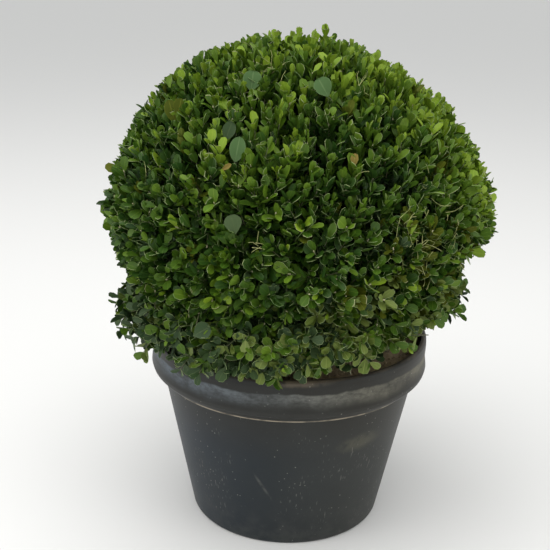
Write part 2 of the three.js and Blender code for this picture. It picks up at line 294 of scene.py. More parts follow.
def blade_group() -> Group:
    """Makes the group for a leaf blade. On its map U runs across and V from root to tip.

    Returns:
        The group, which puts out a colour and a height.
    """
    sockets = {"Blade": COLOUR, "Rib": COLOUR, "Tint": FLOAT, "Behind": FLOAT}
    nodes, given, out = new_group("leaf_blade", sockets, {"Colour": COLOUR, "Height": FLOAT})
    across, along, _ = nodes.split(nodes.add("ShaderNodeUVMap", uv_map=BLADE_MAP).outputs[0])
    off_rib = nodes.math("ABSOLUTE", nodes.math("SUBTRACT", across, 0.5))
    rib = nodes.range(off_rib, 0.0, 0.07, 0.75, 0.0)
    margin = nodes.range(off_rib, 0.42, 0.5, 0.0, 0.6)
    root = nodes.range(along, 0.0, 0.35, 0.45, 0.0)
    share = nodes.math("MAXIMUM", nodes.math("MAXIMUM", rib, margin), root)
    tinted = nodes.mix(given["Tint"], given["Blade"], given["Rib"])
    upper = nodes.mix(share, tinted, given["Rib"])
    whole = nodes.mix(given["Behind"], upper, rgba(PALER_BEHIND), "ADD")
    cut = nodes.range(along, *CUT_MARKS, 0.0, CUT_EDGE.share)
    nodes.feed(out["Colour"], nodes.mix(cut, whole, rgba(CUT_EDGE.colour)))
    nodes.feed(out["Height"], nodes.times(rib, -1.0))
    return nodes.tree


class Leaf(Enum):
    """The kinds of leaf by colour. Each is one or more pieces of its own."""

    DEEP = "deep"
    MID = "mid"
    BRIGHT = "bright"
    FRESH = "fresh"
    BLUISH = "bluish"
    OLIVE = "olive"
    SHADE = "shade"
    BRONZE = "bronze"
    DRY = "dry"


@dataclass(frozen=True)
class LeafFinish:
    """A glossy leaf blade with a midrib and margin in a paler colour, the rib."""

    blade: Rgb
    rib: Rgb
    roughness: float = 0.42
    gloss: float = 0.22

    def build(self, kind: Leaf, group: Group) -> Material:
        """Makes the material.

        Args:
            kind: the kind of leaf.
            group: the group for a leaf blade.

        Returns:
            The material.
        """
        material, nodes, shader = new_material(
            f"leaf_{kind.value}", Roughness=self.roughness, Specular_IOR_Level=self.gloss
        )
        blade = nodes.use(
            group,
            Blade=rgba(self.blade),
            Rib=rgba(self.rib),
            Tint=nodes.add("ShaderNodeAttribute", attribute_name=TINT).outputs["Fac"],
            Behind=nodes.add("ShaderNodeNewGeometry").outputs["Backfacing"],
        )
        nodes.feed(shader.inputs["Base Color"], blade.outputs["Colour"])
        nodes.relief(shader, blade.outputs["Height"], strength=0.35, distance=0.3 * MM)
        return material


LEAF_FINISHES = {
    Leaf.DEEP: LeafFinish((0.017, 0.052, 0.0046), (0.056, 0.112, 0.014), 0.42),
    Leaf.MID: LeafFinish((0.035, 0.087, 0.0050), (0.100, 0.172, 0.018), 0.44),
    Leaf.BRIGHT: LeafFinish((0.072, 0.146, 0.0070), (0.160, 0.245, 0.025), 0.46),
    Leaf.FRESH: LeafFinish((0.160, 0.265, 0.012), (0.260, 0.350, 0.035), 0.48),
    Leaf.BLUISH: LeafFinish((0.058, 0.120, 0.034), (0.120, 0.195, 0.074), 0.50),
    Leaf.OLIVE: LeafFinish((0.100, 0.145, 0.024), (0.205, 0.250, 0.062), 0.48),
    Leaf.BRONZE: LeafFinish((0.054, 0.073, 0.004), (0.140, 0.158, 0.016), 0.54, 0.12),
    # Painted shade: the shade leaves are a bluish green darkened to stand for the shadows among the leaves
    # where they are dealt.
    Leaf.SHADE: LeafFinish((0.026, 0.054, 0.017), (0.064, 0.098, 0.035), 0.50),
    Leaf.DRY: LeafFinish((0.185, 0.140, 0.032), (0.320, 0.250, 0.080), 0.65, 0.10),
}


@dataclass(frozen=True)
class Dust:
    """Cloudy dust, made by the grime group: how fine its clouds and grain are, and how thick."""

    cloud: float
    grain: float
    amount: float

    def mask(self, nodes: Nodes, group: Group, place: Socket) -> Socket:
        """Where the dust lies, from 0 to 1, by the grime group placed in a material."""
        scales = {"Cloud_Scale": self.cloud, "Grain_Scale": self.grain}
        return nodes.use(group, Place=place, Amount=self.amount, **scales).outputs["Mask"]


@dataclass(frozen=True)
class Smear:
    """A patchy oval smear on the front of the pot: its middle, turn in degrees and half its size."""

    centre: Point
    turn: float
    half: Span
    coat: Coat
    half_depth: float = 0.12

    def mask(self, nodes: Nodes, place: Socket) -> Socket:
        """Draws the smear.

        Args:
            nodes: the material's nodes.
            place: the place on the pot.

        Returns:
            Where it shows, from 0 to 1.
        """
        local = nodes.mapped(
            place,
            "TEXTURE",
            Location=self.centre,
            Rotation=(0, math.radians(self.turn), 0),
            Scale=(self.half[0], self.half_depth, self.half[1]),
        )
        away = nodes.add("ShaderNodeVectorMath", {0: local}, operation="LENGTH")
        worn = nodes.range(nodes.noise(place, 100.0, detail=4.0), 0.22, 0.60)
        return nodes.times(nodes.range(away.outputs["Value"], 0.25, 1.0, 1.0, 0.0), worn)


@dataclass(frozen=True)
class Specks:
    """Small round specks in a few cells of a Voronoi Texture.

    The size is a speck's radius as a share of its cell. The rarity is the share of empty cells.
    """

    scale: float
    size: float
    rarity: float

    def mask(self, nodes: Nodes, place: Socket) -> Socket:
        """Draws the specks.

        Args:
            nodes: the material's nodes.
            place: the place on the object.

        Returns:
            Where they show, from 0 to 1.
        """
        cells = nodes.add("ShaderNodeTexVoronoi", {"Vector": place, "Scale": self.scale})
        spot = nodes.range(cells.outputs["Distance"], self.size, self.size * 2.2, 1.0, 0.0)
        picked = nodes.add("ShaderNodeSeparateColor", {0: cells.outputs["Color"]})
        return nodes.times(spot, nodes.range(picked.outputs[0], self.rarity, self.rarity + 0.005))


@dataclass(frozen=True)
class PlasticFinish:
    """Charcoal moulded plastic, dusty, scuffed and splashed, with a pale band on its collar that is partly
    dust and partly painted sheen.

    Left and right name the colours of the pot's two sides, which are reached at the distance side
    from its middle. The line is the moulding line under the collar. A pair of heights says where
    an effect starts and where it is full.
    """

    left: Rgb = (0.0065, 0.0138, 0.0215)
    right: Rgb = (0.0215, 0.0232, 0.0195)
    side: float = 0.14
    # The pot turns a dark brown towards the top, up its body and over the collar.
    earthy: Coat = Coat((0.0165, 0.0145, 0.0095), 0.75)
    earthy_heights: Span = (0.110, 0.200)
    film: Rgb = (0.038, 0.042, 0.041)
    film_dust: Dust = Dust(9.0, 700.0, 0.5)
    # The collar's pale band: partly dust, partly painted sheen, cooler at the left and warmer at the right.
    band_left: Rgb = (0.172, 0.206, 0.240)
    band_right: Rgb = (0.240, 0.226, 0.170)
    band_share: float = 0.64
    band_top: Span = (0.2215, 0.2185)
    band_foot: Span = (0.1985, 0.2165)
    line: Rgb = (0.36, 0.31, 0.23)
    line_foot: Span = (0.1813, 0.1817)
    line_top: Span = (0.1834, 0.1828)
    lip: Coat = Coat((0.16, 0.125, 0.085), 0.35)
    lip_heights: Span = (0.2335, 0.2365)
    speck: Coat = Coat((0.36, 0.35, 0.31), 0.55)
    coarse: Specks = Specks(190.0, 0.08, 0.965)
    fine: Specks = Specks(330.0, 0.16, 0.955)
    scuff: Coat = Coat((0.22, 0.21, 0.19), 0.35)
    scuff_heights: Span = (0.178, 0.160)
    splash: Coat = Coat((0.090, 0.088, 0.078), 0.26)
    splash_top: float = 0.065
    smears: tuple[Smear, ...] = (
        Smear((0.083, -0.126, 0.141), -6, (0.034, 0.015), Coat((0.090, 0.086, 0.058), 0.5)),
        Smear((-0.029, -0.140, 0.087), 59, (0.022, 0.0028), Coat((0.17, 0.165, 0.145), 0.3)),
        Smear((0.006, -0.168, 0.234), 0, (0.050, 0.007), Coat((0.175, 0.140, 0.095), 0.55)),
    )
    roughness: float = 0.46
    gloss: float = 0.28

    def build(self, grime: Group) -> Material:
        """Makes the material.

        Args:
            grime: the grime group.

        Returns:
            The material.
        """
        material, nodes, shader = new_material("pot_plastic", Specular_IOR_Level=self.gloss)
        place = nodes.place()
        side, _, height = nodes.split(place)
        warm = nodes.range(side, -self.side, self.side)
        film = self.film_dust.mask(nodes, grime, place)
        uneven = nodes.math("ADD", height, self._wobble(nodes, place))
        dust_and_sheen = self._band(nodes, place, uneven)
        specks = self._specks(nodes, place)
        scuffs = nodes.times(self._scratches(nodes, place), nodes.range(height, *self.scuff_heights))

        colour = nodes.mix(warm, rgba(self.left), rgba(self.right))
        # A dark brown towards the top of the pot.
        earthy = nodes.range(height, *self.earthy_heights, 0.0, self.earthy.share)
        colour = nodes.mix(earthy, colour, rgba(self.earthy.colour))
        colour = nodes.mix(film, colour, rgba(self.film))
        # The pale band's colour: dust with a painted sheen over it.
        worn = nodes.mix(warm, rgba(self.band_left), rgba(self.band_right))
        colour = nodes.mix(nodes.times(dust_and_sheen, self.band_share), colour, worn)
        colour = nodes.mix(self._line(nodes, place, height), colour, rgba(self.line))
        colour = nodes.coated(colour, self.lip, nodes.range(uneven, *self.lip_heights))
        colour = nodes.coated(colour, self.speck, specks)
        for smear in self.smears:
            colour = nodes.coated(colour, smear.coat, smear.mask(nodes, place))
        colour = nodes.coated(colour, self.scuff, scuffs)
        colour = nodes.mix(self._splash(nodes, place, height), colour, rgba(self.splash.colour))
        nodes.feed(shader.inputs["Base Color"], colour)

        dull = nodes.math("ADD", nodes.times(film, 0.25), nodes.times(dust_and_sheen, 0.2))
        nodes.feed(shader.inputs["Roughness"], nodes.math("ADD", dull, self.roughness, clamp=True))
        grain = nodes.math("ADD", nodes.noise(place, 900.0, detail=2.0), nodes.times(specks, 1.5))
        nodes.relief(shader, nodes.math("SUBTRACT", grain, scuffs), strength=0.25, distance=0.25 * MM)
        return material

    def _wobble(self, nodes: Nodes, place: Socket) -> Socket:
        """How far the edges of the pale band of dust and painted sheen wander up and down."""
        return nodes.times(nodes.math("SUBTRACT", nodes.noise(place, 22.0, detail=4.0), 0.5), 0.012)

    def _band(self, nodes: Nodes, place: Socket, height: Socket) -> Socket:
        """Draws the pale band of dust and painted sheen.

        Args:
            nodes: the material's nodes.
            place: the place on the pot.
            height: the height with the band's wobble.

        Returns:
            Where it shows, from 0 to 1.
        """
        edges = nodes.times(nodes.range(height, *self.band_top), nodes.range(height, *self.band_foot))
        drawn = nodes.mapped(place, Scale=(0.75, 0.75, 1.5))
        patch = nodes.range(nodes.noise(drawn, 32.0, detail=5.0, roughness=0.7), 0.24, 0.64)
        streak = nodes.range(nodes.noise(drawn, 240.0, detail=3.0, roughness=0.6), 0.30, 0.60, 0.65, 1.0)
        return nodes.times(edges, nodes.times(patch, streak))

    def _line(self, nodes: Nodes, place: Socket, height: Socket) -> Socket:
        """Where the moulding line shows, from 0 to 1."""
        edges = nodes.times(nodes.range(height, *self.line_foot), nodes.range(height, *self.line_top))
        return nodes.times(edges, nodes.range(nodes.noise(place, 60.0, detail=2.0), 0.30, 0.60, 0.22, 0.85))

    def _specks(self, nodes: Nodes, place: Socket) -> Socket:
        """Both sizes of speck, crowded in some places."""
        fine = nodes.times(self.fine.mask(nodes, place), 0.7)
        both = nodes.math("MAXIMUM", self.coarse.mask(nodes, place), fine)
        return nodes.times(both, nodes.range(nodes.noise(place, 14.0, detail=2.0), 0.42, 0.60, 0.15, 1.0))

    def _scratches(self, nodes: Nodes, place: Socket) -> Socket:
        """Thin slanting scratches, thick in a few places."""
        slant = nodes.mapped(place, Rotation=(0.5, 0.35, 0.2), Scale=(1.0, 1.0, 0.06))
        lines = nodes.range(nodes.noise(slant, 620.0, detail=0.0), 0.71, 0.77)
        return nodes.times(lines, nodes.range(nodes.noise(place, 18.0, detail=2.0), 0.52, 0.68))

    def _splash(self, nodes: Nodes, place: Socket, height: Socket) -> Socket:
        """Where the foot is splashed, from 0 to 1."""
        low = nodes.range(height, self.splash_top, 0.0, 0.0, self.splash.share)
        drops = nodes.noise(place, 55.0, detail=5.0, roughness=0.65)
        return nodes.times(low, nodes.range(drops, 0.36, 0.70))


@dataclass(frozen=True)
class MixFinish:
    """Dark potting mix with paler crumbs and drier patches."""

    dark: Rgb = (0.120, 0.088, 0.048)
    light: Rgb = (0.540, 0.410, 0.240)
    patch: Coat = Coat((0.26, 0.19, 0.12), 0.5)
    dust: Dust = Dust(60.0, 500.0, 0.9)
    roughness: float = 0.92

    def build(self, grime: Group) -> Material:
        """Makes the material.

        Args:
            grime: the grime group.

        Returns:
            The material.
        """
        material, nodes, shader = new_material("potting_mix", Roughness=self.roughness)
        place = nodes.place()
        crumbs = nodes.noise(place, 330.0, detail=6.0, roughness=0.7)
        colour = nodes.mix(crumbs, rgba(self.dark), rgba(self.light))
        colour = nodes.coated(colour, self.patch, self.dust.mask(nodes, grime, place))
        nodes.feed(shader.inputs["Base Color"], colour)
        nodes.relief(shader, crumbs, strength=1.0, distance=1.2 * MM)
        return material


@dataclass(frozen=True)
class BarkFinish:
    """Bark or green wood: fine fissures in two close colours, with a little lichen."""

    light: Rgb
    dark: Rgb
    scale: float
    lichen: Dust = Dust(70.0, 600.0, 0.5)
    roughness: float = 0.8

    def build(self, name: str, grime: Group) -> Material:
        """Makes the material.

        Args:
            name: the material's name.
            grime: the grime group.

        Returns:
            The material.
        """
        material, nodes, shader = new_material(name, Roughness=self.roughness)
        place = nodes.place()
        fissures = nodes.noise(place, self.scale, detail=5.0, roughness=0.65)
        colour = nodes.mix(nodes.range(fissures, 0.35, 0.65), rgba(self.dark), rgba(self.light))
        pale = tuple(0.6 * channel + 0.11 for channel in self.light)
        colour = nodes.mix(self.lichen.mask(nodes, grime, place), colour, rgba(pale))
        nodes.feed(shader.inputs["Base Color"], colour)
        nodes.relief(shader, fissures, strength=0.6, distance=0.5 * MM)
        return material


@dataclass(frozen=True)
class PaleFinish:
    """A pale dry finish between two colours, for shorn wood and leaf rims."""

    dull: Rgb
    pale: Rgb
    roughness: float = 0.6

    def build(self, name: str) -> Material:
        """The material by that name."""
        material, nodes, shader = new_material(name, Roughness=self.roughness)
        share = nodes.range(nodes.noise(nodes.place(), 90.0, detail=2.0), 0.35, 0.65)
        nodes.feed(shader.inputs["Base Color"], nodes.mix(share, rgba(self.dull), rgba(self.pale)))
        return material


class Finishes:
    """The materials of the plant and its pot, and the shader node groups that they share."""

    def __init__(self) -> None:
        """Makes the shared groups and every material."""
        grime = grime_group()
        blade = blade_group()
        self.leaves = {kind: finish.build(kind, blade) for kind, finish in LEAF_FINISHES.items()}
        self.plastic = PlasticFinish().build(grime)
        self.mix = MixFinish().build(grime)
        self.bark = BarkFinish((0.20, 0.155, 0.10), (0.085, 0.065, 0.042), 260.0).build("bark", grime)
        green = BarkFinish((0.13, 0.17, 0.055), (0.10, 0.085, 0.045), 420.0)
        self.green_wood = green.build("green_wood", grime)
        self.cut_wood = PaleFinish((0.34, 0.34, 0.16), (0.60, 0.55, 0.36)).build("cut_wood")
        self.margin = PaleFinish((0.14, 0.22, 0.070), (0.36, 0.43, 0.18)).build("leaf_margin")
        self.stalk = PaleFinish((0.20, 0.23, 0.060), (0.42, 0.43, 0.16)).build("bare_stalk")


def linked(name: str, data: bpy.types.ID) -> Object:
    """A new object of some data, linked to the scene."""
    made = bpy.data.objects.new(name, data)
    bpy.context.scene.collection.objects.link(made)
    return made


def discard(forms: list[Object]) -> None:
    """Takes helper objects out of the file again."""
    for form in forms:
        bpy.data.objects.remove(form)


def mesh_object(name: str, points: Array, faces: list, smooth: bool = True) -> Object:
    """Makes a mesh as an object at the origin.

    Args:
        name: the object's name.
        points: its points, one a row.
        faces: each face's corners.
        smooth: whether its faces are shaded smooth.

    Returns:
        The object, linked to the scene.
    """
    mesh = bpy.data.meshes.new(name)
    mesh.from_pydata([tuple(point) for point in points], [], [tuple(face) for face in faces])
    mesh.update()
    mesh.polygons.foreach_set("use_smooth", [smooth] * len(mesh.polygons))
    return linked(name, mesh)


def plain_mesh(piece: Object, modifier: bpy.types.Modifier) -> bpy.types.Mesh:
    """Makes what a modifier shows a plain mesh.

    Args:
        piece: the object.
        modifier: its modifier, which is removed again.

    Returns:
        The mesh.
    """
    seen = piece.evaluated_get(bpy.context.evaluated_depsgraph_get())
    mesh = bpy.data.meshes.new_from_object(seen)
    piece.modifiers.remove(modifier)
    return mesh


def tube_faces(rings: int, sides: int, start: int = 0) -> list[tuple[int, ...]]:
    """Joins rings of points to the side of a tube.

    Args:
        rings: how many rings there are.
        sides: how many points each has.
        start: the number of the first point.

    Returns:
        The faces.
    """
    faces = []
    for first in range(start, start + (rings - 1) * sides, sides):
        for i in range(sides):
            j = (i + 1) % sides
            faces.append((first + i, first + j, first + sides + j, first + sides + i))
    return faces


def end_faces(rings: int, sides: int, start: int = 0) -> list[tuple[int, ...]]:
    """The two faces that close a tube of such rings."""
    last = start + (rings - 1) * sides
    return [tuple(range(start + sides - 1, start - 1, -1)), tuple(range(last, last + sides))]


def add_piece(piece: Object, nodes: tuple[str, ...] = ()) -> None:
    """Lets a finished piece ride on the body, and says what it is.

    Args:
        piece: the piece.
        nodes: the nodes that it stands for.
    """
    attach(piece, ROOT_BODY)
    if nodes:
        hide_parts(*nodes)
    piece.data.calc_loop_triangles()
    log.info("%s: %d triangles", piece.name, len(piece.data.loop_triangles))


@dataclass(frozen=True)
class BladeForm:
    """The form of one leaf blade at length 1, with its root at the origin.

    Its margins rise by the cup, its tip bends back by the curl and is notched by the notch. Rows
    say how far along each row of points lies and its share of the breadth, from root to tip.
    Marks are where the last rows lie on the blade's map, if not as far along as on the blade.
    """

    breadth: float
    cup: float
    curl: float
    notch: float = 0.0
    rows: tuple[Span, ...] = ((0.20, 0.50), (0.60, 1.0), (0.89, 0.72))
    marks: tuple[float, ...] = ()

    def _point(self, along: float, wide: float, side: int) -> Point:
        """One point of a row. A cut blade ends a little aslant."""
        slant = CUT_SLANT * side if self.marks else 0.0
        rise = self.cup * wide * abs(side) - self.curl * along**2
        return (along + slant, side * wide * self.breadth / 2, rise)

    def _tip(self) -> Point:
        """The tip of a whole blade."""
        return (1.0 - self.notch, 0.0, 0.3 * self.cup - self.curl)

    def build(self, name: str) -> Object:
        """Makes the blade.

        Args:
            name: the object's name.

        Returns:
            A mesh of a few faces with its own map.
        """
        points = [(0.0, 0.0, 0.0)]
        places = [(0.5, 0.0)]
        whole = len(self.rows) - len(self.marks)
        marks = [along for along, _ in self.rows[:whole]] + list(self.marks)
        for (along, wide), mark in zip(self.rows, marks):
            for side in (-1, 0, 1):
                points.append(self._point(along, wide, side))
                places.append((0.5 + 0.5 * side, mark))
        faces = [(0, 1, 2), (0, 2, 3)]
        for row in range(1, 3 * len(self.rows) - 2, 3):
            faces += [(row, row + 3, row + 4, row + 1), (row + 1, row + 4, row + 5, row + 2)]
        if not self.marks:
            points.append(self._tip())
            places.append((0.5, 1.0))
            last = len(points) - 1
            faces += [(last - 3, last, last - 2), (last - 2, last, last - 1)]
        blade = mesh_object(name, np.array(points), faces)
        layer = blade.data.uv_layers.new(name=BLADE_MAP)
        for loop in blade.data.loops:
            layer.data[loop.index].uv = places[loop.vertex_index]
        return blade

    def margin(self, name: str) -> Object:
        """Makes the raised rim along one side of the blade, or along its cut.

        Args:
            name: the object's name.

        Returns:
            A thin open tube of three sides.
        """
        if self.marks:
            line = [self._point(*self.rows[-1], side) for side in (-1, 0, 1)]
        else:
            line = [self._point(along, wide, 1) for along, wide in self.rows]
            line.append(self._tip())
        points = []
        for i, spot in enumerate(line):
            ahead = np.subtract(line[min(i + 1, len(line) - 1)], line[max(i - 1, 0)])
            across = unit(np.cross(ahead, [0, 0, 1.0]))
            for turn in (90, 210, 330):
                shift = across * math.cos(math.radians(turn)) + UP * math.sin(math.radians(turn))
                points.append(np.array(spot) + MARGIN_RADIUS * shift)
        return mesh_object(name, np.array(points), tube_faces(len(line), 3))


class Blade(IntEnum):
    """The forms of leaf blade, in the order in which they are made."""

    WHOLE = 0
    NOTCHED = 1
    NARROW = 2
    BROAD = 3
    CUT = 4
    LARGE = 5
    ROUND = 6


CUT_SLANT = 0.03
MARGIN_RADIUS = 0.014
CUT_ROWS = ((0.20, 0.50), (0.46, 0.92), (0.655, 0.98), (0.70, 0.97))
LARGE_ROWS = (
    (0.05, 0.22), (0.14, 0.50), (0.30, 0.82), (0.50, 1.0), (0.68, 0.97), (0.83, 0.78), (0.94, 0.46),
)
ROUND_ROWS = (
    (0.05, 0.14), (0.16, 0.40), (0.34, 0.78), (0.56, 1.0), (0.74, 0.97), (0.88, 0.72), (0.96, 0.42),
)
BLADE_FORMS = {
    Blade.WHOLE: BladeForm(breadth=0.50, cup=0.12, curl=0.07),
    Blade.NOTCHED: BladeForm(breadth=0.58, cup=0.07, curl=0.13, notch=0.03),
    Blade.NARROW: BladeForm(breadth=0.44, cup=0.16, curl=-0.04),
    Blade.BROAD: BladeForm(breadth=0.76, cup=0.05, curl=0.03, notch=0.04),
    Blade.CUT: BladeForm(breadth=0.52, cup=0.11, curl=0.07, rows=CUT_ROWS, marks=(1.0, 1.25)),
    Blade.LARGE: BladeForm(breadth=0.62, cup=0.10, curl=0.10, rows=LARGE_ROWS),
    Blade.ROUND: BladeForm(breadth=0.84, cup=0.14, curl=0.12, notch=0.02, rows=ROUND_ROWS),
}


def twig_form(name: str, sides: int) -> Object:
    """Makes a straight twig of length 1 along +X and radius 1, thinner at its closed tip.

    Args:
        name: the object's name.
        sides: how many sides it has.

    Returns:
        The twig.
    """
    points = []
    for along, radius in ((0.0, 1.0), (1.0, 0.72)):
        for i in range(sides):
            turn = FULL_TURN * i / sides
            points.append((along, radius * math.cos(turn), radius * math.sin(turn)))
    return mesh_object(name, np.array(points), tube_faces(2, sides) + end_faces(2, sides)[1:])


def crumb_form(name: str, seed: int) -> Object:
    """Makes an uneven crumb of bark or peat, about 1 across.

    Args:
        name: the object's name.
        seed: picks its form.

    Returns:
        The crumb.
    """
    rng = np.random.default_rng(seed)
    points = np.array([(0, 0, 0.4), (0.5, 0, 0), (0, 0.42, 0), (-0.5, 0, 0), (0, -0.42, 0), (0, 0, -0.4)])
    points = points * rng.uniform(0.7, 1.2, points.shape)
    faces = [(0, 1, 2), (0, 2, 3), (0, 3, 4), (0, 4, 1), (5, 2, 1), (5, 3, 2), (5, 4, 3), (5, 1, 4)]
    return mesh_object(name, points, faces, smooth=False)


def quaternions(frames: Array) -> Array:
    """Turns rotation matrices into quaternions.

    Args:
        frames: the matrices, one a row.

    Returns:
        The quaternions (w, x, y, z), one a row.
    """
    along = [frames[:, i, i] for i in range(3)]
    signs = ((1, 1, 1), (1, -1, -1), (-1, 1, -1), (-1, -1, 1))
    parts = [1 + a * along[0] + b * along[1] + c * along[2] for a, b, c in signs]
    w, x, y, z = (0.5 * np.sqrt(np.maximum(part, 0)) for part in parts)
    x = np.copysign(x, frames[:, 2, 1] - frames[:, 1, 2])
    y = np.copysign(y, frames[:, 0, 2] - frames[:, 2, 0])
    z = np.copysign(z, frames[:, 1, 0] - frames[:, 0, 1])
    return unit(np.stack([w, x, y, z], axis=1))


@dataclass
class Stand:
    """Where small forms stand, one a row.

    Each has its root, the way along that its X axis runs, the way that its face, the Z axis,
    leans, and its scale. Form picks which form it takes, and tint is a number for its material.
    """

    root: Array
    along: Array
    face: Array
    size: Array
    form: Optional[Array] = None
    tint: Optional[Array] = None

    def turns(self) -> Array:
        """Each form's rotation as a quaternion."""
        x = unit(self.along)
        y = unit(np.cross(self.face, x))
        return quaternions(np.stack([x, y, np.cross(x, y)], axis=2))

    def points(self, name: str) -> bpy.types.Mesh:
        """Makes a mesh of bare points that carry all of it.

        Args:
            name: the mesh's name.

        Returns:
            The mesh.
        """
        count = len(self.root)
        mesh = bpy.data.meshes.new(name)
        mesh.vertices.add(count)
        mesh.vertices.foreach_set("co", self.root.astype(np.float32).ravel())
        for layer, kind, key, values in (
            ("turn", "QUATERNION", "value", self.turns()),
            ("size", "FLOAT_VECTOR", "vector", self.size),
            ("form", "INT", "value", np.zeros(count, int) if self.form is None else self.form),
            (TINT, "FLOAT", "value", np.zeros(count) if self.tint is None else self.tint),
        ):
            flat = np.asarray(values, np.int32 if kind == "INT" else np.float32).ravel()
            mesh.attributes.new(layer, kind, "POINT").data.foreach_set(key, flat)
        return mesh


class Scatter:
    """A Geometry Nodes tree that sets small forms on points and makes them one plain mesh."""

    def __init__(self) -> None:
        """Builds the tree, with its forms, its material and its size as named inputs."""
        self.tree = bpy.data.node_groups.new("scatter", "GeometryNodeTree")
        for name, direction, kind in (
            ("Geometry", "INPUT", "NodeSocketGeometry"),
            ("Forms", "INPUT", "NodeSocketCollection"),
            ("Finish", "INPUT", "NodeSocketMaterial"),
            ("Size", "INPUT", FLOAT),
            ("Geometry", "OUTPUT", "NodeSocketGeometry"),
        ):
            self.tree.interface.new_socket(name=name, in_out=direction, socket_type=kind)
        nodes = Nodes(self.tree)
        given = nodes.add("NodeGroupInput").outputs
        shelf = {"Collection": given["Forms"], "Separate Children": True, "Reset Children": True}
        forms = nodes.add("GeometryNodeCollectionInfo", shelf)
        sizes = {0: self._read(nodes, "size", "FLOAT_VECTOR"), "Scale": given["Size"]}
        scaled = nodes.add("ShaderNodeVectorMath", sizes, operation="SCALE")
        places = {
            "Points": given["Geometry"],
            "Instance": forms.outputs[0],
            "Pick Instance": True,
            "Instance Index": self._read(nodes, "form", "INT"),
            "Rotation": self._read(nodes, "turn", "QUATERNION"),
            "Scale": scaled.outputs[0],
        }
        place = nodes.add("GeometryNodeInstanceOnPoints", places)
        real = nodes.add("GeometryNodeRealizeInstances", {0: place.outputs[0]})
        dressed = {"Geometry": real.outputs[0], "Material": given["Finish"]}
        finish = nodes.add("GeometryNodeSetMaterial", dressed)
        nodes.add("NodeGroupOutput", {0: finish.outputs[0]})

    @staticmethod
    def _read(nodes: Nodes, name: str, kind: str) -> Socket:
        """Reads an attribute of the points, by its name and kind."""
        node = nodes.add("GeometryNodeInputNamedAttribute", {"Name": name}, data_type=kind)
        return node.outputs[0]

    def make(self, name: str, forms: list[Object], finish: Material, stand: Stand) -> Object:
        """Makes one joined mesh of small forms.

        Args:
            name: the piece's name.
            forms: the small forms, each along +X with its face to +Z.
            finish: the material.
            stand: where they stand.

        Returns:
            The finished piece.
        """
        carrier = linked(name + "_points", stand.points(name + "_points"))
        shelf = bpy.data.collections.new(name + "_forms")
        bpy.context.scene.collection.children.link(shelf)
        for member in forms:
            shelf.objects.link(member)
        modifier = carrier.modifiers.new("scatter", "NODES")
        modifier.node_group = self.tree
        values = {"Forms": shelf, "Finish": finish, "Size": 1.0}
        for item in self.tree.interface.items_tree:
            if item.in_out == "INPUT" and item.name in values:
                modifier[item.identifier] = values[item.name]
        mesh = plain_mesh(carrier, modifier)
        mesh.name = name
        for member in forms:
            shelf.objects.unlink(member)
        bpy.data.collections.remove(shelf)
        bpy.data.objects.remove(carrier)
        for layer in ("turn", "size", "form"):
            if layer in mesh.attributes:
                mesh.attributes.remove(mesh.attributes[layer])
        return linked(name, mesh)


@dataclass(frozen=True)
class Reach:
    """How far the foliage reaches, as the source has it.

    The outermost leaves stand out of their shoots' tips by leaf_stand. The ball draws in from
    waist_top down, and the whole way at waist_low. Dents are where the shears went deeper: the
    way there, how deep, and how wide in degrees. The groove runs level over the right of the
    waist, round a bearing in degrees, and groove_half is half its breadth.
    """

    centre: Point = (0.0054, 0.0, 0.369)
    radius: float = 0.229
    leaf_stand: float = 0.007
    waist_top: float = 0.348
    waist_low: float = 0.308
    waist_depth: float = 0.017
    dents: tuple = (
        ((-0.55, -0.05, 0.83), 0.006, 24),
        ((-0.83, -0.05, 0.57), 0.003, 14),
        ((0.83, -0.05, 0.55), 0.005, 9),
        ((0.62, -0.05, 0.78), 0.013, 22),
        ((0.43, 0.04, 0.90), 0.009, 13),
        ((0.84, -0.20, 0.50), 0.007, 15),
        ((0.974, -0.208, -0.010), -0.006, 6),
        ((0.90, -0.25, -0.37), 0.010, 10),
        ((0.0, 0.07, 1.0), 0.010, 17),
        ((-0.95, -0.26, -0.22), 0.021, 12),
    )
    groove_turn: float = -13.0
    groove_width: float = 22.0
    groove_height: float = 0.345
    groove_half: float = 0.021
    groove_depth: float = 0.038

    def ball_at(self, heights: Array) -> Array:
        """The clipped surface's distance from the ball's axis at some heights."""
        round_part = np.sqrt(np.maximum(self.radius**2 - (heights - self.centre[2]) ** 2, 0))
        return round_part - self.waist_depth * smoothstep(self.waist_top, self.waist_low, heights)

    def ball_point(self, direction: Array, depth: Array) -> Array:
        """Finds points under the clipped surface.

        Args:
            direction: the ways out from the ball's centre, one a row.
            depth: how deep each point lies.

        Returns:
            The points, one a row.
        """
        centre = np.array(self.centre)
        depth = depth + self.leaf_stand
        for toward, sink, width in self.dents:
            breadth = 1 - math.cos(math.radians(width))
            depth = depth + sink * near(direction, unit(np.array(toward)), breadth)
        points = centre + direction * self.radius
        turn = np.degrees(np.arctan2(direction[:, 1], direction[:, 0])) - self.groove_turn
        beside = (turn / self.groove_width) ** 2
        above = ((points[:, 2] - self.groove_height) / self.groove_half) ** 4
        depth = depth + self.groove_depth * np.exp(-beside - above)
        flat = unit(direction * [1, 1, 0]) * self.ball_at(points[:, 2])[:, None]
        points[:, :2] = centre[:2] + flat[:, :2]
        return points - direction * depth[:, None]

    def beyond(self, points: Array) -> Array:
        """How far points stand out of the clipped surface."""
        away = points - np.array(self.centre)
        over_waist = np.linalg.norm(away, axis=1) - self.radius
        under_waist = np.hypot(away[:, 0], away[:, 1]) - self.ball_at(points[:, 2])
        return np.where(points[:, 2] < self.waist_top, under_waist, over_waist)


